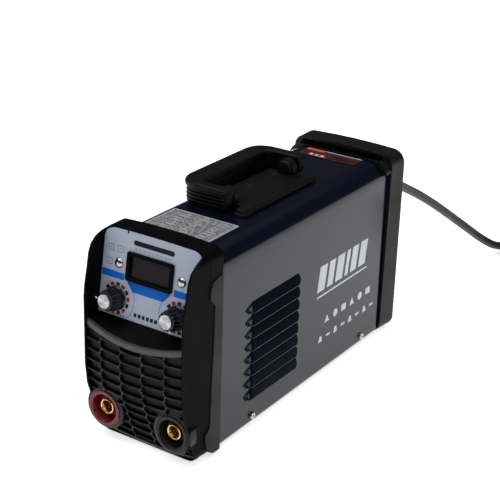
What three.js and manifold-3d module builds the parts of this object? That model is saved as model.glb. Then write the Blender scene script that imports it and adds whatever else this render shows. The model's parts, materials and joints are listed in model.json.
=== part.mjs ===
// Stick welding inverter: a portable arc welder with a painted sheet cover, plastic end bezels,
// a tilted control panel, two output sockets, a folding carry handle, a fan and a mains cord.
// Millimetres. +Z is up, the front faces -Y and the machine stands on z = 0.
import * as THREE from 'three';
import { mergeVertices } from 'three/addons/utils/BufferGeometryUtils.js';
import Module from 'manifold-3d';

const wasm = await Module();
wasm.setup();

// ---------- driving dimensions ----------
const GAP = 0.3; // clearance between touching pieces

const COVER = { half: 60, top: 213, bottom: 6, front: -163, rear: 171, radius: 21, sheet: 1.5 };
const LOUVRE = { count: 8, pitch: 13.8, firstTop: 142.1, height: 9.8, front: -109, rear: -13.3, bulge: 4.5 };
const COVER_SCREW = { front: -96.1, rear: 127.8, z: 12.3, head: 3.6 };

const TRAY = { half: 58, z: 8, sheet: 1.6, flange: 14 };
const FOOT = { x: 44, front: -120, rear: 130, radius: 8, height: 7.7 };

const BEZEL = { half: 62, tipHalf: 59.3, bottom: 1, top: 221, crown: 1.6, cornerTop: 11, cornerBottom: 14, step: 0.1 };
const BEZEL_Y = { rim: -213.2, lip: -174.5, rear: -155.5, stop: -163.3 };
const WING = { inner: 57.3, seat: 54 };
const RIM = [[1, -189], [18, -195], [35, -201], [62, -210.5], [84, -213.2], [156, -213.2], [166, -212],
  [184, -207.5], [198, -204.5], [206, -200.5], [212, -192.5], [217, -182.5], [221, -179.5], [230, -178.5]];

const FACE = { bow: 5.5, skin: 4, bottom: 4, strip: 124, stripRise: 8.3, stripHigh: 6 };
const FACE_Y = [[4, -191.5], [20, -199.5], [37, -205], [61, -215], [86, -218], [124, -217.5], [134, -217.2]];
const HEX = { pitchX: 25.5, pitchZ: 11.25, rib: 1.5, point: 2.2, depth: 2.6, top: 119, bottom: 17 };

const TILT = 0.1606; // radians, the panel leans back
const PANEL = { y: -194.6, z: 134.8, half: 57, height: 86.2, corner: 10, thick: 1.6 };
const DISPLAY = { half: 27.5, low: 38.8, high: 67.4, proud: 2.6, body: 25 };
const WINDOW = { half: 22.6, low: 43.2, high: 63 };
const PANEL_SCREW = { x: 37.1, s: 52.9, radius: 4.9 };
const KNOB = { x: 36.5, s: 18, flange: 12.2, radius: 11.2, waist: 9.6, top: 18, cap: 8.7, capTop: 20, bore: 3.03 };

const SOCKET = { x: 41.2, z: 36.7, front: -207.3, collar: 17.3, dish: 14.2, brass: 9.5, bore: 6.3, surround: 22.6 };

const REAR = { lip: 157.5, pocket: 176, bar: 165.5, step: 169, end: 193.5 };
const REAR_SIZE = { half: 66.3, lipHalf: 64, lipLow: 199.5, lipTop: 214.4, top: 221, bottom: 1, crown: 1.4 };
const REAR_OPEN = { half: 56, bottom: 13, top: 202, corner: 9 };
const RIBS = [-46, -34, -10, 14, 34, 46];
const REAR_PANEL = { y: 172, thick: 2.5 };
const FAN = { z: 70, size: 92, depth: 25, bore: 43.5, hub: 17, blades: 7, y: 146.5 };
const SWITCH = { x: -24, z: 158, wide: 31, high: 25 };
const GLAND = { x: 37, z: 178.5, end: 218.5, sag: 0.0046 };

const HANDLE = { front: -77.5, rear: 69.5, left: -52, pivotZ: 226, reach: 12.2, arm: 13, grip: 24 };
const HANDLE_Z = { low: 214, high: 238, under: 220, lip: 232 };
const HANDLE_BASE = { left: -26, right: 30, z: 213.3, thick: 6.5, split: 14 };
const POST = { front: -62.5, rear: 54.5, thick: 8, half: 10 };
const HANDLE_SCREWS = [-46.5, -6.5, 38.5];
const HANDLE_SCREW_X = -8;

const CORD = { diameter: 10.5, sides: 10 };
const COIL = { x: 147, y: 493, inner: 46.1, outer: 67.9, low: 0.4, high: 21.8, plug: -1.309, reach: 60 };

// ---------- solids ----------
function weld(geometry) {
  const plain = geometry.index ? geometry.toNonIndexed() : geometry.clone();
  plain.deleteAttribute('normal');
  plain.deleteAttribute('uv');
  const merged = mergeVertices(plain, 1e-4);
  const place = merged.attributes.position;
  const source = merged.index.array;
  const kept = [];
  let volume = 0;
  const [a, b, c] = [new THREE.Vector3(), new THREE.Vector3(), new THREE.Vector3()];
  for (let i = 0; i < source.length; i += 3) {
    const [p, q, r] = [source[i], source[i + 1], source[i + 2]];
    if (p === q || q === r || r === p) continue;
    kept.push(p, q, r);
    a.fromBufferAttribute(place, p);
    b.fromBufferAttribute(place, q);
    c.fromBufferAttribute(place, r);
    volume += a.dot(b.cross(c));
  }
  if (volume < 0) kept.reverse();
  merged.setIndex(kept);
  return merged;
}

function solid(geometry) {
  const clean = weld(geometry);
  const vertProperties = new Float32Array(clean.attributes.position.array);
  const triVerts = new Uint32Array(clean.index.array);
  return new wasm.Manifold(new wasm.Mesh({ numProp: 3, vertProperties, triVerts }));
}

function geometryOf(body) {
  const mesh = body.getMesh();
  const geometry = new THREE.BufferGeometry();
  geometry.setAttribute('position', new THREE.BufferAttribute(new Float32Array(mesh.vertProperties), 3));
  geometry.setIndex(new THREE.BufferAttribute(new Uint32Array(mesh.triVerts), 1));
  return geometry;
}

const join = (...bodies) => bodies.reduce((whole, body) => whole.add(body));
const cut = (body, ...tools) => tools.reduce((rest, tool) => rest.subtract(tool), body);

function box(x0, x1, y0, y1, z0, z1) {
  const geometry = new THREE.BoxGeometry(x1 - x0, y1 - y0, z1 - z0);
  return geometry.translate((x0 + x1) / 2, (y0 + y1) / 2, (z0 + z1) / 2);
}

const solidBox = (...sides) => solid(box(...sides));

// A plan in (x, z) pushed along y.
function prismY(shape, y0, y1, curveSegments = 4) {
  const geometry = new THREE.ExtrudeGeometry(shape, { depth: y1 - y0, bevelEnabled: false, curveSegments });
  return geometry.rotateX(Math.PI / 2).translate(0, y1, 0);
}

// A plan in (y, z) pushed along x.
function prismX(shape, x0, x1, curveSegments = 4) {
  const geometry = new THREE.ExtrudeGeometry(shape, { depth: x1 - x0, bevelEnabled: false, curveSegments });
  const turn = new THREE.Matrix4().set(0, 0, 1, 0, 1, 0, 0, 0, 0, 1, 0, 0, 0, 0, 0, 1);
  return geometry.applyMatrix4(turn).translate(x0, 0, 0);
}

// A plan in (x, y) pushed along z.
function prismZ(shape, z0, z1, curveSegments = 4) {
  const geometry = new THREE.ExtrudeGeometry(shape, { depth: z1 - z0, bevelEnabled: false, curveSegments });
  return geometry.translate(0, 0, z0);
}

// A turned piece about the y axis, from [radius, y] pairs that start and end on the axis.
function turned(profile, segments = 24) {
  return new THREE.LatheGeometry(profile.map(([r, y]) => new THREE.Vector2(r, y)), segments);
}

// A ring turned about the y axis, from a closed loop of [radius, y] pairs.
function turnedRing(loop, segments = 24) {
  return turned([...loop, loop[0]], segments);
}

// The same pieces about the z axis.
const turnedZ = (profile, segments) => turned(profile, segments).rotateX(Math.PI / 2);

function roundedRect(x0, x1, z0, z1, low, high = low) {
  const shape = new THREE.Shape();
  shape.moveTo(x0 + low, z0);
  shape.lineTo(x1 - low, z0);
  shape.absarc(x1 - low, z0 + low, low, -Math.PI / 2, 0);
  shape.lineTo(x1, z1 - high);
  shape.absarc(x1 - high, z1 - high, high, 0, Math.PI / 2);
  shape.lineTo(x0 + high, z1);
  shape.absarc(x0 + high, z1 - high, high, Math.PI / 2, Math.PI);
  shape.lineTo(x0, z0 + low);
  shape.absarc(x0 + low, z0 + low, low, Math.PI, Math.PI * 1.5);
  return shape;
}

// A rounded outline whose top edge is a low arch.
function archedOutline(half, bottom, top, low, high, crown) {
  const shape = new THREE.Shape();
  shape.moveTo(-half + low, bottom);
  shape.lineTo(half - low, bottom);
  shape.absarc(half - low, bottom + low, low, -Math.PI / 2, 0);
  shape.lineTo(half, top - crown - high);
  shape.absarc(half - high, top - crown - high, high, 0, Math.PI / 2);
  shape.quadraticCurveTo(0, top + crown, -half + high, top - crown);
  shape.absarc(-half + high, top - crown - high, high, Math.PI / 2, Math.PI);
  shape.lineTo(-half, bottom + low);
  shape.absarc(-half + low, bottom + low, low, Math.PI, Math.PI * 1.5);
  return shape;
}

function polygon(points) {
  return new THREE.Shape(points.map(([x, y]) => new THREE.Vector2(x, y)));
}

function disc(x, z, radius, sides = 20) {
  const points = [];
  for (let i = 0; i < sides; i += 1) {
    const angle = (i * Math.PI * 2) / sides;
    points.push([x + radius * Math.cos(angle), z + radius * Math.sin(angle)]);
  }
  return polygon(points);
}

// Narrows a geometry in x from one y to another.
function taper(geometry, yWide, yNarrow, ratio) {
  const place = geometry.attributes.position;
  for (let i = 0; i < place.count; i += 1) {
    const t = (place.getY(i) - yWide) / (yNarrow - yWide);
    place.setX(i, place.getX(i) * (1 + t * (ratio - 1)));
  }
  return geometry;
}

// A closed slab between a front and a back surface, both given as y over a grid of (x, z).
function slab(columns, rows, at, thickness) {
  const points = [];
  for (const depth of [0, thickness]) {
    for (let i = 0; i <= columns; i += 1) {
      for (let j = 0; j <= rows; j += 1) {
        const [x, y, z] = at(i / columns, j / rows);
        points.push(x, y + depth, z);
      }
    }
  }
  const size = (columns + 1) * (rows + 1);
  const id = (layer, i, j) => layer * size + i * (rows + 1) + j;
  const faces = [];
  const quad = (a, b, c, d) => faces.push(a, b, c, a, c, d);
  for (let i = 0; i < columns; i += 1) {
    for (let j = 0; j < rows; j += 1) {
      quad(id(0, i, j), id(0, i + 1, j), id(0, i + 1, j + 1), id(0, i, j + 1));
      quad(id(1, i, j), id(1, i, j + 1), id(1, i + 1, j + 1), id(1, i + 1, j));
    }
  }
  for (let i = 0; i < columns; i += 1) {
    quad(id(0, i, 0), id(1, i, 0), id(1, i + 1, 0), id(0, i + 1, 0));
    quad(id(0, i, rows), id(0, i + 1, rows), id(1, i + 1, rows), id(1, i, rows));
  }
  for (let j = 0; j < rows; j += 1) {
    quad(id(0, 0, j), id(0, 0, j + 1), id(1, 0, j + 1), id(1, 0, j));
    quad(id(0, columns, j), id(1, columns, j), id(1, columns, j + 1), id(0, columns, j + 1));
  }
  const geometry = new THREE.BufferGeometry();
  geometry.setAttribute('position', new THREE.BufferAttribute(new Float32Array(points), 3));
  geometry.setIndex(faces);
  return geometry;
}

// ---------- scene ----------
const machine = new THREE.Group();

function paint(color, roughness, metalness) {
  return new THREE.MeshStandardMaterial({ color, roughness, metalness });
}

const blackPlastic = () => paint(0x1b1a1c, 0.45, 0);
const steel = () => paint(0xb9bbbd, 0.35, 0.9);
const blackSteel = () => paint(0x202022, 0.45, 0.8);
const copper = () => paint(0xb8733a, 0.35, 0.9);

function add(name, shape, material, parent = machine) {
  const geometry = weld(shape instanceof THREE.BufferGeometry ? shape : geometryOf(shape));
  const mesh = new THREE.Mesh(geometry, material);
  mesh.name = name;
  parent.add(mesh);
  return mesh;
}

// ---------- the case ----------
function louvreWedge(side, top, inset) {
  const bottom = top - LOUVRE.height;
  const y0 = LOUVRE.front + inset;
  const y1 = LOUVRE.rear - inset;
  const wall = COVER.half - inset * 1.4;
  const out = COVER.half + LOUVRE.bulge - inset;
  const drop = inset ? 0.4 : 0;
  const back = COVER.half - COVER.sheet - 1;
  const corners = [
    [back, y0, bottom - drop],
    [back, y1, bottom - drop],
    [wall, y1, top - inset],
    [wall, y0, top - inset],
    [back, y1, top - inset],
    [back, y0, top - inset],
    [out, y0 + 8, bottom - drop],
    [out, y1 - 4, bottom - drop],
  ];
  const faces = [
    0, 6, 7, 0, 7, 1, // underside
    3, 2, 7, 3, 7, 6, // sloping face
    0, 5, 3, 0, 3, 6, // front end
    1, 7, 2, 1, 2, 4, // rear end
    5, 4, 2, 5, 2, 3, // top
    0, 1, 4, 0, 4, 5, // inner face
  ];
  const geometry = new THREE.BufferGeometry();
  const flat = corners.flatMap(([x, y, z]) => [side * x, y, z]);
  geometry.setAttribute('position', new THREE.BufferAttribute(new Float32Array(flat), 3));
  geometry.setIndex(faces);
  return solid(geometry);
}

function addCover() {
  const { half, top, bottom, front, rear, radius, sheet } = COVER;
  const outer = roundedRect(-half, half, bottom - 20, top, 1, radius);
  const inner = roundedRect(-half + sheet, half - sheet, bottom - 30, top - sheet, 1, radius - sheet);
  let cover = cut(solid(prismY(outer, front, rear)), solid(prismY(inner, front - 1, rear + 1)));
  cover = cut(cover, solidBox(-80, 80, front - 1, rear + 1, bottom - 40, bottom));
  for (const side of [-1, 1]) {
    for (let i = 0; i < LOUVRE.count; i += 1) {
      const louvreTop = LOUVRE.firstTop - i * LOUVRE.pitch;
      const hood = cut(louvreWedge(side, louvreTop, 0), solidBox(-57, 57, front, rear, 0, top));
      cover = cut(join(cover, hood), louvreWedge(side, louvreTop, 1.2));
    }
  }
  cover = cut(cover, solidBox(-80, 80, REAR.lip - GAP, rear + 1, REAR_SIZE.lipLow - GAP, top + 1));
  for (const y of HANDLE_SCREWS) {
    const hole = turnedZ([[0, top - 9], [2.3, top - 9], [2.3, top + 9], [0, top + 9]], 12);
    cover = cut(cover, solid(hole.translate(HANDLE_SCREW_X, y, 0)));
  }
  for (const y of [COVER_SCREW.front, COVER_SCREW.rear]) {
    const hole = turned([[0, -90], [2.4, -90], [2.4, 90], [0, 90]], 12).rotateZ(Math.PI / 2);
    cover = cut(cover, solid(hole.translate(0, y, COVER_SCREW.z)));
  }
  add('cover', cover, paint(0x1a2233, 0.22, 0.3));
}

function addCoverScrews() {
  for (const [side, hand] of [[-1, 'left'], [1, 'right']]) {
    for (const [y, end] of [[COVER_SCREW.front, 'front'], [COVER_SCREW.rear, 'rear']]) {
      const { head, z } = COVER_SCREW;
      const start = COVER.half + GAP;
      const profile = [[0, start - 8], [1.6, start - 8], [1.6, start], [head, start], [head, start + 1.1],
        [head * 0.66, start + 2.1], [0, start + 2.5]];
      const screw = turned(profile, 16).rotateZ(-side * Math.PI / 2).translate(0, y, z);
      add(`cover_screw_${hand}_${end}`, screw, steel());
    }
  }
}

function addTray() {
  const { half, z, sheet, flange } = TRAY;
  const [front, rear] = [COVER.front + 2, COVER.rear - 2];
  const shape = polygon([
    [-half, z], [half, z], [half, z + flange], [half - sheet, z + flange],
    [half - sheet, z + sheet], [-half + sheet, z + sheet], [-half + sheet, z + flange], [-half, z + flange],
  ]);
  let tray = solid(prismY(shape, front, rear));
  for (const y of [COVER_SCREW.front, COVER_SCREW.rear]) {
    const hole = turned([[0, -90], [2.2, -90], [2.2, 90], [0, 90]], 12).rotateZ(Math.PI / 2);
    tray = cut(tray, solid(hole.translate(0, y, COVER_SCREW.z)));
  }
  add('chassis_tray', tray, paint(0x2a2c30, 0.5, 0.6));
  for (const [x, hand] of [[-FOOT.x, 'left'], [FOOT.x, 'right']]) {
    for (const [y, end] of [[FOOT.front, 'front'], [FOOT.rear, 'rear']]) {
      const { radius, height } = FOOT;
      const foot = turnedZ([[0, 0], [radius - 1.5, 0], [radius, height * 0.6], [radius, height], [0, height]], 16);
      add(`foot_${hand}_${end}`, foot.translate(x, y, 0), paint(0x151515, 0.8, 0));
    }
  }
}

// ---------- front ----------
const lerp = (table, z) => {
  const last = table[table.length - 1];
  if (z <= table[0][0]) return table[0][1];
  for (let i = 1; i < table.length; i += 1) {
    const [z1, y1] = table[i];
    const [z0, y0] = table[i - 1];
    if (z <= z1) return y0 + ((y1 - y0) * (z - z0)) / (z1 - z0);
  }
  return last[1];
};

const panelY = (z, depth) => PANEL.y + (z - PANEL.z) * Math.tan(TILT) + depth / Math.cos(TILT);
const stripZ = (x) => FACE.strip + FACE.stripRise * (x / WING.inner) ** 2;
const faceY = (x, z) => lerp(FACE_Y, z) + FACE.bow * (x / WING.inner) ** 2;

function ledge() {
  const back = -193.2;
  const rows = 2;
  const geometry = slab(10, rows, (u, v) => {
    const x = (2 * u - 1) * (WING.inner + 0.9);
    const front = faceY(x, stripZ(x)) + FACE.skin + GAP;
    const y = back + (front - back) * v;
    return [x, y, 134.4 + (stripZ(x) - 0.8 - 134.4) * v];
  }, 0.001);
  const place = geometry.attributes.position;
  for (let i = place.count / 2; i < place.count; i += 1) place.setZ(i, place.getZ(i) - 2.6);
  return solid(geometry);
}

// Everything ahead of the back of the grille, between two planes of x.
function mouth(half, depth, low) {
  const outline = [[-240, PANEL.z]];
  for (const z of [PANEL.z, 120, 86, 61, 37, 20, low]) outline.push([lerp(FACE_Y, z) + depth, z]);
  outline.push([-240, low]);
  return solid(prismX(polygon(outline), -half, half));
}

function addFrontBezel() {
  const { half, tipHalf, bottom, top, crown, cornerTop, cornerBottom, step } = BEZEL;
  const outline = archedOutline(half, bottom, top, cornerBottom, cornerTop, crown);
  const flange = solid(prismY(outline, BEZEL_Y.lip, BEZEL_Y.rear, 6));
  const inset = archedOutline(half - step, bottom + step, top - step, cornerBottom, cornerTop, crown);
  const reach = -216;
  const nose = prismY(inset, reach, BEZEL_Y.lip + 0.5, 6);
  taper(nose, BEZEL_Y.lip, BEZEL_Y.rim, tipHalf / (half - step));
  let bezel = join(flange, solid(nose));
  const ahead = [[-240, 240], [RIM[RIM.length - 1][1], 240]];
  for (let i = RIM.length - 1; i >= 0; i -= 1) ahead.push([RIM[i][1], RIM[i][0]]);
  ahead.push([RIM[0][1], -5], [-240, -5]);
  bezel = cut(bezel, solid(prismX(polygon(ahead), -80, 80)));
  // pocket of the panel, between the wings
  const panelBack = polygon([
    [-240, PANEL.z - 0.5], [panelY(PANEL.z - 0.5, PANEL.thick + GAP), PANEL.z - 0.5],
    [panelY(240, PANEL.thick + GAP), 240], [-240, 240],
  ]);
  bezel = cut(bezel, solid(prismX(panelBack, -WING.inner, WING.inner)));
  // pocket of the grille, between the wings
  bezel = cut(bezel, mouth(WING.inner, FACE.bow + FACE.skin + 1, 3.6));
  // the hollow behind both
  const hollow = roundedRect(-WING.seat, WING.seat, 8, COVER.top - 4, 6, 16);
  bezel = cut(bezel, solid(prismY(hollow, -240, -150, 5)));
  // the socket that the cover runs into
  const seat = roundedRect(-COVER.half - GAP, COVER.half + GAP, 5.7, COVER.top + GAP, 1, COVER.radius + GAP);
  bezel = cut(bezel, solid(prismY(seat, BEZEL_Y.stop, -150, 6)));
  bezel = join(bezel, ledge());
  // round walls about the two sockets
  const { x, z, collar, surround } = SOCKET;
  for (const side of [-1, 1]) {
    const ring = turned([[0, -205.6], [surround - 1.2, -205.6], [surround, -204.4], [surround, -190], [0, -190]], 32);
    const edges = [side * WING.inner, side * (half + 0.2)].sort((a, b) => a - b);
    bezel = join(bezel, solid(ring.translate(side * x, 0, z)).intersect(solidBox(...edges, -240, -180, 8, 80)));
    const hole = turned([[0, -240], [collar + GAP, -240], [collar + GAP, -180], [0, -180]], 32);
    bezel = cut(bezel, solid(hole.translate(side * x, 0, z)));
  }
  add('front_bezel', bezel, blackPlastic());
}

function hexagon(x, z, wide, high) {
  return polygon([
    [x - wide, z], [x - wide + HEX.point, z - high], [x + wide - HEX.point, z - high],
    [x + wide, z], [x + wide - HEX.point, z + high], [x - wide + HEX.point, z + high],
  ]);
}

function addGrille() {
  const edge = WING.inner - GAP;
  const surface = (inset, thickness) => solid(slab(8, 9, (u, v) => {
    const x = (2 * u - 1) * edge;
    const z = FACE.bottom + (stripZ(x) - FACE.bottom) * v;
    return [x, faceY(x, z) + inset, z];
  }, thickness));
  let grille = surface(1, FACE.skin - 1);
  const cells = [];
  const half = HEX.pitchX / 2;
  for (let column = -2; column <= 2; column += 1) {
    const offset = column % 2 === 0 ? 0 : HEX.pitchZ / 2;
    for (let z = HEX.bottom + offset; z < HEX.top - 2; z += HEX.pitchZ) {
      const x = column * HEX.pitchX;
      const clear = Math.hypot(Math.abs(x) - SOCKET.x, z - SOCKET.z) > SOCKET.surround + 9;
      if (clear || column === 0) cells.push([x, z]);
    }
  }
  // the raised net: a second skin with the cells cut out of it
  let net = surface(0, 1.4);
  const low = FACE.bottom;
  for (const [x, z] of cells) {
    const wide = half + HEX.point / 2 - HEX.rib;
    const cell = prismY(hexagon(x, z, wide, HEX.pitchZ / 2 - HEX.rib), -240, -190, 1);
    net = cut(net, solid(cell));
  }
  net = cut(net, solidBox(-edge - 1, edge + 1, -240, -180, low - 1, low + 0.01));
  grille = join(grille, net);
  for (const side of [-1, 1]) {
    const { x, z, surround, collar } = SOCKET;
    const ring = turnedRing([[collar - 3, -205.6], [surround - 1.2, -205.6], [surround, -204.4],
      [surround, -192], [collar - 3, -192]], 32);
    grille = join(grille, cut(solid(ring.translate(side * x, 0, z)), solidBox(-80, 80, -240, -180, -20, low)));
    const hole = turned([[0, -240], [collar + GAP, -240], [collar + GAP, -180], [0, -180]], 32);
    grille = cut(grille, solid(hole.translate(side * x, 0, z)));
  }
  grille = grille.intersect(mouth(edge, FACE.bow + FACE.skin + 0.6, low));
  add('front_grille', grille, paint(0x2b2a2c, 0.5, 0));
}

// Places a piece made in the panel's own frame: x across, y up the panel, z out of it.
const onPanel = (geometry) => geometry.rotateX(Math.PI / 2 - TILT).translate(0, PANEL.y, PANEL.z);

function addPanel() {
  const { half, height, corner, thick } = PANEL;
  const shape = new THREE.Shape();
  shape.moveTo(-half, GAP);
  shape.lineTo(half, GAP);
  shape.lineTo(half, height - corner);
  shape.quadraticCurveTo(half - 0.6, height - 2.2, half - corner, height - 0.6);
  shape.quadraticCurveTo(0, height + 1, -half + corner, height - 0.6);
  shape.quadraticCurveTo(-half + 0.6, height - 2.2, -half, height - corner);
  shape.holes.push(roundedRect(-DISPLAY.body - GAP, DISPLAY.body + GAP, DISPLAY.low + 2.2, DISPLAY.high - 2.2, 1));
  for (const side of [-1, 1]) {
    shape.holes.push(disc(side * KNOB.x, KNOB.s, 4.1));
    shape.holes.push(disc(side * PANEL_SCREW.x, PANEL_SCREW.s, 2.3));
  }
  const plate = new THREE.ExtrudeGeometry(shape, { depth: thick, bevelEnabled: false, curveSegments: 5 });
  add('control_panel', onPanel(plate.translate(0, 0, -thick)), paint(0xccd3d9, 0.4, 0));
}

function frameShape(half, low, high, corner) {
  return roundedRect(-half, half, low, high, corner);
}

function addDisplay() {
  const { half, low, high, proud, body } = DISPLAY;
  const front = solid(prismZ(frameShape(half, low, high, 2.5), GAP, proud, 3));
  const sleeve = solid(prismZ(frameShape(body, low + 2.5, high - 2.5, 1), -7, GAP + 0.2, 2));
  const w = WINDOW;
  const opening = solid(prismZ(frameShape(w.half, w.low, w.high, 1), -20, 20, 2));
  const rebate = solid(prismZ(frameShape(w.half + 1.3, w.low - 1.1, w.high + 1.1, 0.8), -20, -1.6, 2));
  add('display_frame', onPanel(geometryOf(cut(join(front, sleeve), opening, rebate))), blackPlastic());
  const lens = prismZ(frameShape(w.half + 1, w.low - 0.8, w.high + 0.8, 0.8), -3.8, -1.9, 2);
  add('display_lens', onPanel(lens), paint(0x0c0d11, 0.08, 0));
  const module = box(-w.half, w.half, w.low + 0.4, w.high - 0.4, -12, -4.2);
  add('display_module', onPanel(module), paint(0x2b2d31, 0.6, 0));
}

function addPanelScrews() {
  const { x, s, radius } = PANEL_SCREW;
  for (const [side, hand] of [[-1, 'left'], [1, 'right']]) {
    const screw = turnedZ([[0, -8], [1.9, -8], [1.9, GAP], [radius, GAP], [radius, 1.3],
      [radius * 0.72, 2.5], [0, 3]], 16);
    add(`panel_screw_${hand}`, onPanel(screw.translate(side * x, s, 0)), paint(0x8d9094, 0.35, 0.9));
  }
}

function fluted(radius, depth, count) {
  const points = [];
  for (let i = 0; i < count * 2; i += 1) {
    const angle = (i * Math.PI) / count;
    const reach = i % 2 ? radius - depth : radius;
    points.push([reach * Math.cos(angle), reach * Math.sin(angle)]);
  }
  return polygon(points);
}

function addKnobs() {
  const { x, s, flange, radius, top, cap, capTop, bore } = KNOB;
  for (const [side, hand] of [[-1, 'left'], [1, 'right']]) {
    const skirt = solid(turnedZ([[0, 0.8], [flange, 0.8], [flange - 0.6, 3.4], [0, 4]], 28));
    const grip = solid(prismZ(fluted(radius, 0.9, 18), 3, top - 1, 1));
    const crown = solid(turnedZ([[0, top - 1.5], [radius - 1.2, top - 1.5], [radius - 1.8, top], [0, top]], 28));
    const hole = solid(turnedZ([[0, -1], [bore, -1], [bore, 14], [0, 14]], 16));
    const recess = solid(turnedZ([[0, top - 1.4], [cap + GAP, top - 1.4], [cap + GAP, 40], [0, 40]], 28));
    const knob = cut(join(skirt, grip, crown), hole, recess);
    add(`knob_${hand}`, onPanel(geometryOf(knob).translate(side * x, s, 0)), paint(0x161617, 0.5, 0));
    const face = turnedZ([[0, top - 1.1], [cap, top - 1.1], [cap, capTop - 0.8], [cap - 0.8, capTop], [0, capTop]], 28);
    add(`knob_cap_${hand}`, onPanel(face.translate(side * x, s, 0)), paint(0xc9cbce, 0.25, 0.9));
    const pot = turnedZ([[0, -12], [8.2, -12], [8.2, -3], [3.7, -3], [3.7, 0.2], [2.95, 0.2], [2.95, 13], [0, 13]], 16);
    add(`potentiometer_${hand}`, onPanel(pot.translate(side * x, s, 0)), paint(0x6f6a60, 0.5, 0.5));
  }
  const board = box(-46, 46, 3, 71, -14.2, -12.6);
  add('control_board', onPanel(board), paint(0x1f4d2e, 0.5, 0));
}

function addSockets() {
  const { x, z, front, collar, dish, brass, bore } = SOCKET;
  for (const [side, name, color] of [[-1, 'positive', 0x9c1d22], [1, 'negative', 0x1a1a1b]]) {
    const ring = turnedRing([[brass + GAP, -196], [dish - 2.2, -196], [dish - 0.6, -200], [dish, front + 0.8],
      [dish + 0.8, front], [collar - 0.9, front], [collar, front + 0.9], [collar, -191], [brass + GAP, -191]], 32);
    add(`socket_collar_${name}`, ring.translate(side * x, 0, z), paint(color, 0.4, 0));
    let insert = solid(turned([[0, -201], [brass, -201], [brass, -172], [5, -172], [5, -158], [0, -158]], 28));
    insert = cut(insert, solid(turned([[0, -210], [bore, -210], [bore, -176], [0, -176]], 28)));
    insert = cut(insert, solidBox(-2, 2, -210, -190, bore - 1.5, bore + 1.7));
    add(`socket_insert_${name}`, geometryOf(insert).translate(side * x, 0, z), paint(0xc79a45, 0.3, 0.9));
    const [lo, hi] = [side * x - 7, side * x + 7];
    let bar = solidBox(lo, hi, -166, -163, z - 9, z + 9);
    bar = join(bar, solidBox(lo, hi, -166, -140, z - 9, z - 6));
    bar = cut(bar, solid(turned([[0, -170], [5.3, -170], [5.3, -160], [0, -160]], 16).translate(side * x, 0, z)));
    add(`bus_bar_${name}`, bar, copper());
  }
}

// ---------- rear ----------
function addRearBezel() {
  const { half, lipHalf, lipLow, lipTop, top, bottom, crown } = REAR_SIZE;
  const { lip, pocket, bar, step, end } = REAR;
  const outline = archedOutline(half, bottom, top, 13, 15, crown);
  let bezel = solid(prismY(outline, step, end, 4));
  const shoulder = archedOutline(lipHalf, 190, lipTop - 0.3, 0.5, 17, 0.3);
  bezel = join(bezel, solid(prismY(shoulder, lip, step + 1, 6)));
  bezel = cut(bezel, solidBox(-80, 80, lip - 5, step, 150, lipLow));
  bezel = join(bezel, solid(prismY(archedOutline(half - 10, 205, top, 1, 6, crown), bar, step + 1, 4)));
  // the ribbed pocket along the top, under the bar
  bezel = cut(bezel, solidBox(-52, 52, lip + 1.3, pocket, 209.4, 217.6));
  bezel = cut(bezel, solidBox(-52, 52, lip - 1, bar, 213.6, 217.8));
  for (const x of RIBS) {
    bezel = join(bezel, solidBox(x - 0.8, x + 0.8, bar + 1, pocket + 0.5, 209, 218.5));
  }
  // room for the cover, for the rear panel and for the hand of the fitter
  const seat = roundedRect(-COVER.half - GAP, COVER.half + GAP, 5.5, lipLow + 8, 1, 9);
  bezel = cut(bezel, solid(prismY(seat, lip + 1.8, REAR_PANEL.y - 0.4, 5)));
  const plate = roundedRect(-58.6, 58.6, 7.4, lipLow + 7, 3, 14);
  bezel = cut(bezel, solid(prismY(plate, REAR_PANEL.y - 0.5, REAR_PANEL.y + REAR_PANEL.thick + GAP, 5)));
  const { half: openHalf, bottom: openBottom, top: openTop, corner } = REAR_OPEN;
  const opening = roundedRect(-openHalf, openHalf, openBottom, openTop, corner);
  bezel = cut(bezel, solid(prismY(opening, REAR_PANEL.y, end + 1, 5)));
  add('rear_bezel', bezel, blackPlastic());
}

function addRearPanel() {
  const shape = roundedRect(-58.3, 58.3, 7.7, REAR_SIZE.lipLow + 6.7, 3, 14);
  for (const [r0, r1] of [[12, 20], [22.5, 30.5], [33, 41]]) {
    for (let quarter = 0; quarter < 4; quarter += 1) {
      const start = (quarter * Math.PI) / 2 + Math.PI / 4 + 2.2 / r0;
      const end = ((quarter + 1) * Math.PI) / 2 + Math.PI / 4 - 2.2 / r0;
      const slot = new THREE.Path();
      slot.absarc(0, FAN.z, r1, start, end, false);
      slot.absarc(0, FAN.z, r0, end, start, true);
      shape.holes.push(slot);
    }
  }
  const { x, z, wide, high } = SWITCH;
  shape.holes.push(roundedRect(x - wide / 2 + 2, x + wide / 2 - 2, z - high / 2 + 1.5, z + high / 2 - 1.5, 0.5));
  shape.holes.push(disc(GLAND.x, GLAND.z, 8.3));
  const plate = prismY(shape, REAR_PANEL.y, REAR_PANEL.y + REAR_PANEL.thick, 4);
  add('rear_panel', plate, paint(0x222326, 0.45, 0.5));
}

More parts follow.
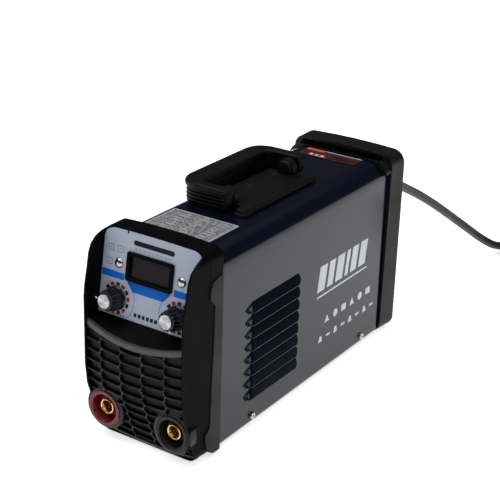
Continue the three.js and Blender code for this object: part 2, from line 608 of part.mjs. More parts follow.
function addFan() {
  const { z, size, depth, bore, hub, blades, y } = FAN;
  const s = size / 2;
  const end = y + depth;
  let frame = solid(prismY(roundedRect(-s, s, z - s, z + s, 4), y, end, 3));
  frame = cut(frame, solid(turned([[0, y - 1], [bore, y - 1], [bore, end + 1], [0, end + 1]], 36).translate(0, 0, z)));
  const motor = turned([[0, y + 18.5], [14, y + 18.5], [14, end - 1], [0, end - 1]], 20).translate(0, 0, z);
  frame = join(frame, solid(motor));
  for (let i = 0; i < 4; i += 1) {
    const arm = box(12, bore + 2, end - 4, end - 1, -2, 2).rotateY(Math.PI / 4 + (i * Math.PI) / 2);
    frame = join(frame, solid(arm.translate(0, 0, z)));
  }
  const pin = turned([[0, y + 6], [2, y + 6], [2, y + 19], [0, y + 19]], 24).translate(0, 0, z);
  frame = join(frame, solid(pin));
  add('fan_frame', frame, paint(0x1c1c1e, 0.5, 0));
  let rotor = solid(turned([[0, y + 1.5], [hub - 2, y + 1.5], [hub, y + 3], [hub, y + 18], [0, y + 18]], 24));
  for (let i = 0; i < blades; i += 1) {
    const blade = box(hub - 2, bore - 1.6, -0.9, 0.9, -9, 9).rotateX(0.9).translate(0, y + 10.5, 0);
    rotor = join(rotor, solid(blade.rotateY((i * 2 * Math.PI) / blades)));
  }
  rotor = rotor.intersect(solid(turned([[0, y + 0.8], [bore - 1.5, y + 0.8], [bore - 1.5, y + 19.5], [0, y + 19.5]], 36)));
  rotor = cut(rotor, solid(turned([[0, y + 5], [2.08, y + 5], [2.08, y + 30], [0, y + 30]], 24)));
  rotor = cut(rotor, solid(turned([[0, y + 18.1], [hub + 1, y + 18.1], [hub + 1, y + 30], [0, y + 30]], 24)));
  add('fan_rotor', geometryOf(rotor).translate(0, 0, z), paint(0x2a2a2c, 0.5, 0));
}

function addSwitch() {
  const { x, z, wide, high } = SWITCH;
  const face = REAR_PANEL.y + REAR_PANEL.thick + GAP;
  let housing = solidBox(x - wide / 2, x + wide / 2, face, face + 2.2, z - high / 2, z + high / 2);
  const body = solidBox(x - wide / 2 + 2.3, x + wide / 2 - 2.3, face - 24, face + 0.1, z - high / 2 + 1.8, z + high / 2 - 1.8);
  housing = join(housing, body);
  housing = cut(housing, solidBox(x - 11, x + 11, face - 12, face + 9, z - 8.2, z + 8.2));
  const pins = solid(turned([[0, x - 12], [1.2, x - 12], [1.2, x + 12], [0, x + 12]], 16).rotateZ(-Math.PI / 2));
  housing = join(housing, pins.translate([0, face - 3, z]));
  add('switch_housing', housing, paint(0x18181a, 0.4, 0));
  const profile = [[-6, -2.5], [-2.5, -6], [1.5, -6.8], [6.2, -5.8], [4.2, 0], [3.6, 6.4], [-1, 6.8], [-5, 3.5]];
  const rocker = polygon(profile.map(([out, up]) => [face - 3 + out, z + up]));
  let key = solid(prismX(rocker, x - 10.5, x + 10.5));
  key = cut(key, solid(turned([[0, x - 12], [1.28, x - 12], [1.28, x + 12], [0, x + 12]], 16)
    .rotateZ(-Math.PI / 2).translate(0, face - 3, z)));
  add('switch_rocker', key, paint(0xa01f1c, 0.35, 0));
}

// ---------- handle ----------
function addHandle() {
  const { left, right, z, thick, split } = HANDLE_BASE;
  const { front, rear, half, thick: postThick } = POST;
  let base = solid(prismZ(roundedRect(left, right, front, rear, 3), z, z + thick));
  base = join(base, solid(prismZ(roundedRect(split, right, front - 11, rear + 11, 6), z, z + thick)));
  const pivot = HANDLE.pivotZ;
  for (const y of [front, rear - postThick]) {
    base = join(base, solidBox(-half, half, y, y + postThick, z + 1, pivot));
    base = join(base, solid(turned([[0, y], [half, y], [half, y + postThick], [0, y + postThick]], 28)
      .translate(0, 0, pivot)));
    const bore = turned([[0, y - 1], [3.08, y - 1], [3.08, y + postThick + 1], [0, y + postThick + 1]], 16);
    base = cut(base, solid(bore.translate(0, 0, pivot)));
  }
  for (const y of HANDLE_SCREWS) {
    const well = turnedZ([[0, z + 2.4], [7.8, z + 2.4], [7.8, z + 30], [0, z + 30]], 24).translate(HANDLE_SCREW_X, y, 0);
    const hole = turnedZ([[0, z - 9], [2.3, z - 9], [2.3, z + 9], [0, z + 9]], 12).translate(HANDLE_SCREW_X, y, 0);
    base = cut(base, solid(well), solid(hole));
  }
  add('handle_base', base, paint(0x1d1c1f, 0.5, 0));

  const plan = new THREE.Shape();
  const { front: y0, rear: y1, left: x0, arm, grip, reach } = HANDLE;
  const r = 26;
  plan.moveTo(reach, y0);
  plan.lineTo(reach, y0 + arm);
  plan.lineTo(x0 + grip + 8, y0 + arm);
  plan.quadraticCurveTo(x0 + grip, y0 + arm, x0 + grip, y0 + arm + 8);
  plan.lineTo(x0 + grip, y1 - arm - 8);
  plan.quadraticCurveTo(x0 + grip, y1 - arm, x0 + grip + 8, y1 - arm);
  plan.lineTo(reach, y1 - arm);
  plan.lineTo(reach, y1);
  plan.lineTo(x0 + r, y1);
  plan.absarc(x0 + r, y1 - r, r, Math.PI / 2, Math.PI);
  plan.lineTo(x0, y0 + r);
  plan.absarc(x0 + r, y0 + r, r, Math.PI, Math.PI * 1.5);
  const { low, high, under, lip } = HANDLE_Z;
  const side = new THREE.Shape();
  side.moveTo(x0 + 7, low);
  side.lineTo(0, low);
  side.absarc(0, pivot, pivot - low, -Math.PI / 2, Math.PI / 2);
  side.lineTo(x0 + 9, high);
  side.absarc(x0 + 9, high - 9, 9, Math.PI / 2, Math.PI);
  side.lineTo(x0, low + 7);
  side.absarc(x0 + 7, low + 7, 7, Math.PI, Math.PI * 1.5);
  let bail = solid(prismZ(plan, low - 1, high + 1, 6)).intersect(solid(prismY(side, y0 - 5, y1 + 5, 8)));
  bail = cut(bail, solidBox(x0 - 5, x0 + grip + 9, y0 + arm + 1, y1 - arm - 1, low - 5, under));
  for (const [edge, sign] of [[y0, 1], [y1, -1]]) {
    for (let i = 0; i < 5; i += 1) {
      const groove = low + 2.6 + i * 3.5;
      const [ya, yb] = [edge - 2, edge + sign * 1.2].sort((a, b) => a - b);
      const [yc, yd] = [edge + 2, edge + sign * 1.2].sort((a, b) => a - b);
      const [a, b] = sign > 0 ? [ya, yb] : [yc, yd];
      bail = cut(bail, solidBox(x0 + 14, 20, a, b, groove, Math.min(groove + 1.8, lip)));
    }
    const inner = edge + sign * arm;
    const [pa, pb] = [inner + sign * 2, inner - sign * 7.8].sort((a, b) => a - b);
    bail = cut(bail, solid(turned([[0, pa], [3.08, pa], [3.08, pb], [0, pb]], 16).translate(0, 0, pivot)));
  }
  add('handle_bail', bail, paint(0x1b1a1d, 0.45, 0));
  for (const [start, end, name] of [[y0 + 5.5, front + postThick - 0.5, 'front'],
    [rear - postThick + 0.5, y1 - 5.5, 'rear']]) {
    const pin = turned([[0, start], [3, start], [3, end], [0, end]], 16).translate(0, 0, pivot);
    add(`handle_pin_${name}`, pin, blackSteel());
  }
  HANDLE_SCREWS.forEach((y, i) => {
    const seat = z + 2.4 + GAP;
    const screw = turnedZ([[0, z - 7], [2, z - 7], [2, seat], [4.6, seat], [4.6, seat + 1], [3, seat + 1.9],
      [0, seat + 2]], 14);
    add(`handle_screw_${['front', 'middle', 'rear'][i]}`, screw.translate(HANDLE_SCREW_X, y, 0), blackSteel());
  });
}

// ---------- mains lead ----------
function addLead() {
  const { x, z, end, sag } = GLAND;
  const face = REAR_PANEL.y + REAR_PANEL.thick + GAP;
  const tail = (y) => z - sag * (y - face) ** 2;
  const steps = [[0, face - 16], [8, face - 16], [8, face], [11.5, face], [11.5, face + 4], [9.6, face + 5],
    [9, face + 12], [8.4, face + 19], [7.9, face + 26], [7.4, face + 33], [7, end], [0, end]];
  const relief = turned(steps, 18).translate(x, 0, 0);
  const place = relief.attributes.position;
  for (let i = 0; i < place.count; i += 1) {
    const y = place.getY(i);
    place.setZ(i, place.getZ(i) + (y > face ? tail(y) : z));
  }
  add('cord_gland', relief, paint(0x151516, 0.6, 0));

  const route = new THREE.CatmullRomCurve3([
    [37, 221, 168.6], [36.7, 237, 161], [36.5, 254.5, 151.9], [38, 292.5, 131.6], [42, 330.5, 108.6],
    [47.5, 369.5, 82.6], [54, 403.5, 58.6], [62, 436, 34.8], [67.5, 454, 22], [74, 473, 11.8],
    [75.5, 477.5, 10.2],
  ].map(([a, b, c]) => new THREE.Vector3(a, b, c)), false, 'centripetal');
  const section = disc(0, 0, CORD.diameter / 2, CORD.sides);
  const run = new THREE.ExtrudeGeometry(section, { steps: 22, extrudePath: route });
  add('mains_cord_run', run, paint(0x3a3a3a, 0.7, 0));

  const { inner, outer, low, high } = COIL;
  const round = 4.6;
  const loop = [];
  for (const [r, h, from] of [[outer - round, low + round, 0], [outer - round, high - round, 1],
    [inner + round, high - round, 2], [inner + round, low + round, 3]]) {
    for (let i = 0; i <= 3; i += 1) {
      const angle = -Math.PI / 2 + ((from + i / 3) * Math.PI) / 2;
      loop.push([r + round * Math.cos(angle), h + round * Math.sin(angle)]);
    }
  }
  const coil = turnedZ([...loop, loop[0]], 36).translate(COIL.x, COIL.y, 0);
  add('mains_cord_coil', coil, paint(0x3a3a3a, 0.7, 0));

  const mid = (inner + outer) / 2;
  const half = (outer - inner) / 2 + 0.8;
  const wrap = half + 1.2;
  let tie = solid(prismX(roundedRect(mid - wrap, mid + wrap, low, high + 1.5, 5), -5, 5, 3));
  tie = cut(tie, solid(prismX(roundedRect(mid - half, mid + half, low - 20, high + GAP, 2.5), -9, 9, 3)));
  add('cord_tie', geometryOf(tie).translate(COIL.x, COIL.y, 0), paint(0x101010, 0.7, 0));
}

function addPlug() {
  const base = COIL.high + GAP;
  const across = [[-19, -9], [-14, -13], [8, -17], [16, -17], [16, 17], [8, 17], [-14, 13], [-19, 9]];
  let plug = solid(prismZ(polygon(across), base, base + 26, 1));
  plug = join(plug, solid(turned([[0, -36], [6.4, -36], [8.6, -16], [0, -16]], 16).rotateZ(-Math.PI / 2)
    .translate(0, 0, base + 13)));
  // it lies on the coil, along the way the turns run
  const { plug: at, reach } = COIL;
  const place = [COIL.x + reach * Math.cos(at), COIL.y + reach * Math.sin(at), 0];
  const turn = Math.atan2(-Math.cos(at), Math.sin(at));
  const set = (geometry) => geometry.rotateZ(turn).translate(...place);
  add('mains_plug', set(geometryOf(plug)), paint(0x1b1b1c, 0.55, 0));
  for (const [side, name] of [[-1, 'a'], [1, 'b']]) {
    const pin = turned([[0, 16.3], [2.4, 16.3], [2.4, 34], [1.4, 35.2], [0, 35.2]], 14).rotateZ(-Math.PI / 2);
    add(`plug_pin_${name}`, set(pin.translate(0, side * 9.5, base + 13)), steel());
  }
}

// ---------- inside ----------
function addInside() {
  let board = solidBox(-50, 50, -138, 132, 22, 23.8);
  for (const x of [-44, 44]) {
    for (const y of [-130, 124]) board = join(board, solidBox(x - 3, x + 3, y - 3, y + 3, 9.9, 22.5));
  }
  add('power_board', board, paint(0x1d5a34, 0.5, 0));
  for (const [side, hand] of [[-1, 'left'], [1, 'right']]) {
    const [x0, x1] = side < 0 ? [-46, -8] : [8, 46];
    const fins = [[x0, 24.2], [x1, 24.2]];
    const count = 5;
    const pitch = (x1 - x0) / count;
    for (let i = count - 1; i >= 0; i -= 1) {
      const right = x0 + (i + 1) * pitch;
      const left = x0 + i * pitch;
      fins.push([right, 70], [right - 2, 70], [right - 2, 32], [left, 32]);
    }
    add(`heatsink_${hand}`, prismY(polygon(fins), -50, 60), paint(0xaeb2b6, 0.4, 0.8));
  }
  add('transformer', box(-26, 26, -118, -66, 24.2, 72), paint(0x3a352f, 0.6, 0.1));
  const choke = turnedRing([[9, -16], [24, -16], [24, 6], [9, 6]], 24).translate(0, -72, 96);
  add('output_choke', choke.translate(0, -10, 4), copper());
  for (const [x, hand] of [[-24, 'left'], [24, 'right']]) {
    const can = turnedZ([[0, 24.2], [16, 24.2], [17, 25.5], [17, 73], [16, 74], [0, 74]], 20);
    add(`capacitor_${hand}`, can.scale(1, 1, 1).translate(x, 92, 0), paint(0x23395a, 0.35, 0.2));
  }
}

function addLabels() {
  const top = COVER.top + GAP;
  add('label_top', box(-41, 38, -150, -93, top, top + 0.4), paint(0xb8bdc2, 0.5, 0));
  add('label_rear', box(-35, 37, 128, 152, top, top + 0.4), paint(0xb5482a, 0.5, 0));
}

addCover();
addCoverScrews();
addTray();
addFrontBezel();
addGrille();
addPanel();
addDisplay();
addPanelScrews();
addKnobs();
addSockets();
addRearBezel();
addRearPanel();
addFan();
addSwitch();
addHandle();
addLead();
addPlug();
addInside();
addLabels();

export default machine;
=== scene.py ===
import json
import math

import bmesh
import bpy
from mathutils import Matrix, Vector


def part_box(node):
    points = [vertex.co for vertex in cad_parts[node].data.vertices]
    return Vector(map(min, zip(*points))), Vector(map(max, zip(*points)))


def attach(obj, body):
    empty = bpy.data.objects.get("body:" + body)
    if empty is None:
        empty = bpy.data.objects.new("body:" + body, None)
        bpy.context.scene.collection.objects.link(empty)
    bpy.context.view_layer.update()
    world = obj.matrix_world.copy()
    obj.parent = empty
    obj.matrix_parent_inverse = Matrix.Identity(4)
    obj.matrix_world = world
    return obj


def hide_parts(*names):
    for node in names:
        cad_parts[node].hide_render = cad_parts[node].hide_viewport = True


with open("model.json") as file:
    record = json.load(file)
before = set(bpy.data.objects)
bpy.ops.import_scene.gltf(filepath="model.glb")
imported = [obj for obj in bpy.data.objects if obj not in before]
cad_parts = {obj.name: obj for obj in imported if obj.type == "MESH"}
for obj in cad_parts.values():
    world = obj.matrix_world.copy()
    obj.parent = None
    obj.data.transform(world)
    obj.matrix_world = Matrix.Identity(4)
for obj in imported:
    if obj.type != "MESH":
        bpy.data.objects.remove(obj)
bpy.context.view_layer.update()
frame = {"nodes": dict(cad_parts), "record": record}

RECORD = frame["record"]
NODES = frame["nodes"]
SLOT_OF = {part["node"]: part["material_slot"] for part in RECORD["subparts"]}
BODY_OF = {node: body for body, nodes in RECORD["behaviour"]["bodies"].items() for node in nodes}
MM = 0.001
WELD_M = 2e-6


def box_mm(node):
    """A CAD node's lowest and highest corners in millimetres."""
    low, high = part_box(node)
    return [v * 1000 for v in low], [v * 1000 for v in high]


def add_object(name, data):
    piece = bpy.data.objects.new(name, data)
    bpy.context.scene.collection.objects.link(piece)
    return piece


def around(sides):
    """Even angles over a full turn."""
    return [2 * math.pi * i / sides for i in range(sides)]


# ------------------------------------------------------------------ camera
CAMERA_AT = Vector((0.70171, -1.08752, 0.70102))
CAMERA_RIGHT = Vector((0.82923, 0.55816, 0.02890)).normalized()
CAMERA_UP = Vector((-0.24201, 0.31198, 0.91875)).normalized()
LENS_MM = 96.0


def make_camera():
    data = bpy.data.cameras.new("camera")
    data.sensor_width = 36.0
    data.lens = LENS_MM
    data.clip_start = 0.05
    data.clip_end = 60.0
    camera = add_object("camera", data)
    back = CAMERA_RIGHT.cross(CAMERA_UP)
    turn = Matrix((CAMERA_RIGHT, CAMERA_UP, back)).transposed()
    camera.matrix_world = Matrix.Translation(CAMERA_AT) @ turn.to_4x4()
    bpy.context.scene.camera = camera


# ------------------------------------------------------------------ materials
def srgb(r, g, b):
    linear = [v / 3294.6 if v <= 10.3 else ((v / 255 + 0.055) / 1.055) ** 2.4 for v in (r, g, b)]
    return (*linear, 1.0)


def shade(color, factor):
    return tuple(min(v * factor, 1.0) for v in color[:3]) + (1.0,)


def fill(tree, sockets, values):
    """Gives each socket its value: a constant is set on it, another node's output is linked to it."""
    for key, value in values.items():
        if isinstance(value, bpy.types.NodeSocket):
            tree.links.new(value, sockets[key])
        else:
            sockets[key].default_value = value


def add_node(tree, kind, values={}):
    made = tree.nodes.new("ShaderNode" + kind)
    fill(tree, made.inputs, values)
    return made


RING_SCALE, RING_WOBBLE, RING_DEPTH = 12.0, 0.4, 0.06


def surface(name, color, rough, grain, bump, metal=0.0, coat=0.0, vary=0.1, tint=0.15, depth=0.1, wear=None,
            wear_size=0.7, wear_amount=0.5, dust=0.0, stretch=None, blotch=28.0, ior=1.5, coat_rough=0.06,
            gleam=0.5, rings=0.0):
    """A moulded, painted or machined finish: blotchy tone and gloss, fine grain, a lighter colour on the edges (worn
    edges on most finishes, a painted highlight on the grille's ribs and strip), dust or turned rings.
    """
    material = bpy.data.materials.new(name)
    material.use_nodes = True
    tree = material.node_tree
    coords = add_node(tree, "TexCoord")
    source = coords.outputs["Object"]
    if stretch:
        source = add_node(tree, "Mapping", {"Scale": stretch, "Vector": source}).outputs["Vector"]

    def noise(scale, detail, roughness=0.55):
        values = {"Scale": scale, "Detail": detail, "Roughness": roughness, "Vector": source}
        return add_node(tree, "TexNoise", values).outputs["Fac"]

    def spread(value, low, high, to_low, to_high):
        values = {"Value": value, "From Min": low, "From Max": high, "To Min": to_low, "To Max": to_high}
        return add_node(tree, "MapRange", values).outputs["Result"]

    def mix(factor, a, b):
        made = add_node(tree, "Mix")
        made.data_type = "RGBA"
        fill(tree, made.inputs, {"Factor": factor, 6: a, 7: b})
        return made.outputs[2]

    def times(a, b):
        made = add_node(tree, "Math", {0: a, 1: b})
        made.operation = "MULTIPLY"
        return made.outputs[0]

    def normal():
        return add_node(tree, "NewGeometry").outputs["Normal"]

    broad = noise(blotch, 5)
    fine = noise(grain, 3)
    tone = mix(spread(broad, 0.3, 0.7, 0.0, 1.0), shade(color, 1 - tint), shade(color, 1 + tint))
    gloss = spread(broad, 0.3, 0.7, max(rough - vary, 0.02), min(rough + vary, 1.0))
    # Edges take a lighter colour through a noisy mask: real wear on most finishes, a painted highlight on the
    # grille's rib and strip edges.
    if wear:
        round_off = add_node(tree, "Bevel", {"Radius": wear_size * MM})
        round_off.samples = 4
        dot = add_node(tree, "VectorMath", {0: round_off.outputs["Normal"], 1: normal()})
        dot.operation = "DOT_PRODUCT"
        edge = spread(dot.outputs["Value"], 0.99, 0.9, 0.0, wear_amount)
        edge = times(edge, spread(noise(110, 6, 0.7), 0.42, 0.62, 0.15, 1.0))
        tone = mix(edge, tone, wear)
    if dust:
        height = add_node(tree, "SeparateXYZ", {0: normal()}).outputs["Z"]
        patches = spread(noise(60, 6, 0.65), 0.35, 0.7, 0.2, 1.0)
        tone = mix(times(spread(height, 0.4, 1.0, 0.0, dust), patches), tone, srgb(150, 146, 138))
    values = {"Metallic": metal, "IOR": ior, "Specular IOR Level": gleam, "Coat Weight": coat,
              "Coat Roughness": coat_rough, "Base Color": tone, "Roughness": gloss}
    relief = {"Strength": bump, "Distance": depth * MM, "Height": fine}
    if rings:
        middle = {"Location": (-0.5, -0.5, -0.5), "Vector": coords.outputs["Generated"]}
        centre = add_node(tree, "Mapping", middle)
        turning = add_node(tree, "TexWave", {"Scale": RING_SCALE, "Distortion": RING_WOBBLE,
                                             "Vector": centre.outputs["Vector"]})
        turning.wave_type = "RINGS"
        turning.rings_direction = "Y"
        relief = {"Strength": rings, "Distance": RING_DEPTH * MM, "Height": turning.outputs["Fac"]}
    if bump or rings:
        values["Normal"] = add_node(tree, "Bump", relief).outputs["Normal"]
    fill(tree, tree.nodes["Principled BSDF"].inputs, values)
    return material


def finish(rgb, rough, grain, bump, **rest):
    """What surface needs for one look: sRGB colour, roughness, grain scale, grain strength and the rest by name."""
    return dict(color=srgb(*rgb), rough=rough, grain=grain, bump=bump, **rest)


GREY_EDGE = srgb(96, 94, 96)
LOOKS = {
    "cover_paint": finish((8, 12, 26), 0.15, 1400, 0.035, coat=0.08, coat_rough=0.04, gleam=0.38, ior=1.42,
                          depth=0.05, tint=0.08, vary=0.03, blotch=14),
    "tray_steel": finish((58, 60, 64), 0.42, 900, 0.1, wear=srgb(150, 150, 152), wear_amount=0.4),
    "screw_black": finish((22, 21, 23), 0.5, 1500, 0.12, metal=0.4, tint=0.2),
    "side_print": finish((205, 207, 212), 0.42, 1500, 0.05, tint=0.1, vary=0.08),
    "label_print": finish((84, 84, 90), 0.42, 1500, 0.04, tint=0.12),
    "tie_strap": finish((30, 30, 33), 0.7, 1600, 0.35, depth=0.2, tint=0.2, stretch=(3, 1, 1)),
    "screw_steel": finish((186, 182, 168), 0.26, 1800, 0.1, metal=1.0, tint=0.2),
    "foot_rubber": finish((26, 26, 27), 0.8, 1500, 0.3, dust=0.1),
    "bezel_plastic": finish((7, 5, 6), 0.42, 1100, 0.2, gleam=0.14, ior=1.2, depth=0.12, vary=0.08,
                            wear=GREY_EDGE, wear_size=0.9, wear_amount=0.14, dust=0.008),
    # Grille ribs: near black, with near-white edges that are a painted highlight for the thin bright lines the rib
    # edges catch.
    "grille_plastic": finish((14, 12, 14), 0.45, 1100, 0.14, gleam=0.2, ior=1.3, depth=0.12,
                             wear=srgb(176, 172, 175), wear_size=0.42, wear_amount=0.5),
    "panel_plastic": finish((158, 167, 182), 0.42, 1500, 0.05, gleam=0.35, tint=0.05, vary=0.06, blotch=20),
    "lens": finish((24, 18, 22), 0.14, 400, 0.0, gleam=0.2, ior=1.3, tint=0.12, vary=0.04),
    "module": finish((24, 26, 30), 0.5, 700, 0.1),
    "panel_screw": finish((176, 172, 168), 0.18, 1600, 0.06, metal=1.0, tint=0.15, vary=0.05),
    "knob_plastic": finish((8, 8, 10), 0.2, 1500, 0.06, coat=0.1, gleam=0.35, wear=GREY_EDGE, wear_size=0.4,
                           wear_amount=0.25),
    "knob_cap": finish((186, 186, 190), 0.2, 1400, 0.03, metal=1.0, tint=0.04, vary=0.03, rings=1.0),
    "pot_metal": finish((168, 168, 172), 0.34, 900, 0.08, metal=1.0),
    "board": finish((22, 84, 48), 0.5, 420, 0.14, coat=0.4, tint=0.22),
    "socket_red": finish((100, 9, 16), 0.32, 1300, 0.08, coat=0.15, gleam=0.35, wear=srgb(170, 90, 92),
                         wear_size=0.7, wear_amount=0.5),
    "socket_black": finish((11, 10, 12), 0.36, 1300, 0.1, coat=0.05, gleam=0.3, ior=1.4,
                           wear=srgb(128, 126, 126), wear_size=0.7, wear_amount=0.4),
    "brass": finish((236, 198, 126), 0.22, 1200, 0.08, metal=1.0, tint=0.12, wear=srgb(246, 218, 160),
                    wear_size=0.5, wear_amount=0.5),
    "copper": finish((196, 116, 80), 0.3, 800, 0.08, metal=1.0),
    "rear_plate": finish((24, 25, 27), 0.5, 1200, 0.14, wear=GREY_EDGE, wear_amount=0.3),
    "fan_plastic": finish((22, 22, 24), 0.45, 900, 0.12, dust=0.04),
    "switch_black": finish((18, 18, 20), 0.34, 1300, 0.1, wear=GREY_EDGE, wear_size=0.4, wear_amount=0.3),
    "switch_red": finish((172, 24, 22), 0.24, 1200, 0.05, coat=0.3),
    "cord": finish((46, 42, 40), 0.55, 1300, 0.2, depth=0.12, tint=0.1),
    "cord_end": finish((24, 23, 24), 0.6, 1200, 0.22),
    "pin_metal": finish((200, 196, 186), 0.22, 1500, 0.06, metal=1.0),
    "handle_plastic": finish((9, 7, 9), 0.5, 950, 0.24, gleam=0.3, ior=1.35, depth=0.14, vary=0.08,
                             wear=GREY_EDGE, wear_size=0.7, wear_amount=0.16, dust=0.006),
    "heatsink": finish((176, 178, 180), 0.36, 500, 0.1, metal=1.0, stretch=(1, 1, 10)),
    "core": finish((58, 56, 60), 0.6, 500, 0.3, tint=0.25),
    "capacitor": finish((26, 42, 72), 0.3, 900, 0.06, coat=0.3),
    "label": finish((158, 158, 160), 0.4, 1400, 0.06, gleam=0.35, tint=0.06, vary=0.08, blotch=30),
    "label_warm": finish((66, 24, 20), 0.4, 1400, 0.06, tint=0.15),
    "blue_print": finish((0, 90, 182), 0.38, 1500, 0.04, gleam=0.15, ior=1.35, tint=0.06),
    "black_print": finish((16, 17, 22), 0.42, 1500, 0.04, gleam=0.2, ior=1.35),
    "red_print": finish((160, 22, 28), 0.42, 1500, 0.04, gleam=0.2, ior=1.35),
    "grey_print": finish((112, 114, 124), 0.42, 1500, 0.04),
    "white_print": finish((196, 198, 202), 0.42, 1500, 0.04, tint=0.06),
    "orange_print": finish((214, 92, 36), 0.42, 1500, 0.04),
    # The strip over the grille: mid grey, its light-grey edges a painted highlight along its top edge.
    "grille_strip": finish((58, 54, 57), 0.42, 1100, 0.14, gleam=0.4, depth=0.12, wear=srgb(150, 147, 148),
                           wear_size=0.6, wear_amount=0.4),
    "ring_plastic": finish((20, 18, 20), 0.45, 1100, 0.14, gleam=0.35, depth=0.12, wear=srgb(120, 117, 118),
                           wear_size=0.6, wear_amount=0.4),
    "band_plastic": finish((18, 15, 16), 0.42, 1100, 0.18, gleam=0.25, ior=1.35, depth=0.12, wear=GREY_EDGE,
                           wear_size=0.8, wear_amount=0.22),
    "frame_plastic": finish((17, 15, 16), 0.42, 1100, 0.2, gleam=0.3, ior=1.38, depth=0.12, vary=0.08,
                            wear=GREY_EDGE, wear_size=0.9, wear_amount=0.16, dust=0.008),
    # Grille floor: painted shade, near black and darker than the ribs, for the dark deep in the cells.
    "grille_floor": finish((9, 8, 9), 0.6, 900, 0.2, gleam=0.2),
}
MADE = {}


def look(slot):
    if slot not in MADE:
        MADE[slot] = surface(slot, **LOOKS[slot])
    return MADE[slot]


def dress_frame():
    """Every CAD solid gets its slot's look."""
    for node, piece in NODES.items():
        piece.data.materials.clear()
        piece.data.materials.append(look(SLOT_OF[node]))


def settle(piece, width=0.0, segments=2, angle=32.0):
    """Rounds the sharp edges and lets the broad faces rule the shading."""
    if width:
        bevel = piece.modifiers.new("round", "BEVEL")
        bevel.width = width * MM
        bevel.segments = segments
        bevel.limit_method = "ANGLE"
        bevel.angle_limit = math.radians(angle)
        bevel.use_clamp_overlap = True
    weigh = piece.modifiers.new("weigh", "WEIGHTED_NORMAL")
    weigh.keep_sharp = True
    return piece


def refine(node, width=0.6, segments=2, angle=32.0, finish=None, carve=(), reshape=None):
    """A CAD solid's own shape with its facets joined, its edges rounded and, if asked, hollows carved in it."""
    mesh = bpy.data.meshes.new(node + "_fine")
    work = bmesh.new()
    work.from_mesh(NODES[node].data)
    bmesh.ops.remove_doubles(work, verts=work.verts, dist=WELD_M)
    if reshape:
        for vert in work.verts:
            vert.co = Vector(reshape(*[c / MM for c in vert.co])) * MM
    bmesh.ops.dissolve_limit(work, angle_limit=math.radians(0.7), verts=work.verts, edges=work.edges)
    work.to_mesh(mesh)
    work.free()
    if "custom_normal" in mesh.attributes:
        mesh.attributes.remove(mesh.attributes["custom_normal"])
    piece = add_object(node + "_fine", mesh)
    for tool in carve:
        cut = piece.modifiers.new("cut", "BOOLEAN")
        cut.operation = "DIFFERENCE"
        cut.solver = "EXACT"
        cut.object = tool
    if carve:
        graph = bpy.context.evaluated_depsgraph_get()
        piece.data = bpy.data.meshes.new_from_object(piece.evaluated_get(graph))
        piece.modifiers.clear()
        for tool in carve:
            bpy.data.objects.remove(tool)
    piece.data.shade_smooth()
    piece.data.set_sharp_from_angle(angle=math.radians(40))
    piece.data.materials.clear()
    piece.data.materials.append(look(finish or SLOT_OF[node]))
    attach(piece, BODY_OF[node])
    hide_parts(node)
    return settle(piece, width, segments, angle)


# ------------------------------------------------------------------ studio
def make_studio():
    """A pale floor under a sky that is dark just above the horizon and pale overhead, with three soft lamps."""
    world = bpy.data.worlds.new("world")
    bpy.context.scene.world = world
    world.use_nodes = True
    tree = world.node_tree
    tree.nodes.clear()
    split = add_node(tree, "SeparateXYZ", {0: add_node(tree, "TexCoord").outputs["Generated"]})
    sky = add_node(tree, "ValToRGB", {0: split.outputs["Z"]})
    stops = sky.color_ramp.elements
    stops[0].position, stops[0].color = 0.0, (0.9, 0.9, 0.9, 1)
    stops[1].position, stops[1].color = 1.0, (0.5, 0.52, 0.55, 1)
    for place, color in ((0.02, (0.05, 0.055, 0.065, 1)), (0.55, (0.045, 0.05, 0.06, 1)),
                         (0.8, (0.35, 0.36, 0.4, 1))):
        stops.new(place).color = color
    back = add_node(tree, "Background", {"Strength": 1.0, "Color": sky.outputs[0]})
    add_node(tree, "OutputWorld", {0: back.outputs[0]})

    floor_mesh = bpy.data.meshes.new("floor")
    half = 14.0
    floor_mesh.from_pydata([(x, y, 0) for x, y in quad(-half, half, -half, half)], [], [(0, 1, 2, 3)])
    floor = add_object("floor", floor_mesh)
    material = bpy.data.materials.new("floor_paper")
    material.use_nodes = True
    fill(material.node_tree, material.node_tree.nodes["Principled BSDF"].inputs,
         {"Base Color": (0.88, 0.88, 0.88, 1), "Roughness": 0.95, "Specular IOR Level": 0.1,
          "Emission Color": (1, 1, 1, 1), "Emission Strength": 0.72})
    floor_mesh.materials.append(material)

    for name, place, aim, size, power in (
        ("key", (-1.1, -1.3, 3.0), (0.0, 0.0, 0.1), 2.0, 42.0),
        ("fill", (2.4, -1.2, 2.9), (0.0, -0.1, 0.1), 2.0, 22.0),
        ("over", (0.1, 0.5, 3.6), (0.0, 0.2, 0.0), 2.6, 34.0),
    ):
        lamp = bpy.data.lights.new(name, "AREA")
        lamp.shape = "DISK"
        lamp.size = size
        lamp.energy = power
        light = add_object(name, lamp)
        light.location = place
        light.rotation_euler = (Vector(aim) - Vector(place)).to_track_quat("-Z", "Y").to_euler()
    bpy.context.scene.view_settings.view_transform = "Standard"


# ------------------------------------------------------------------ mesh helpers, all in millimetres
def welded(name, verts, faces):
    """A mesh from millimetres with its doubled points joined and its faces turned one way."""
    mesh = bpy.data.meshes.new(name)
    mesh.from_pydata([(x * MM, y * MM, z * MM) for x, y, z in verts], [], faces)
    work = bmesh.new()
    work.from_mesh(mesh)
    bmesh.ops.remove_doubles(work, verts=work.verts, dist=WELD_M)
    bmesh.ops.dissolve_degenerate(work, edges=work.edges, dist=1e-7)
    bmesh.ops.recalc_face_normals(work, faces=work.faces)
    work.to_mesh(mesh)
    work.free()
    return mesh


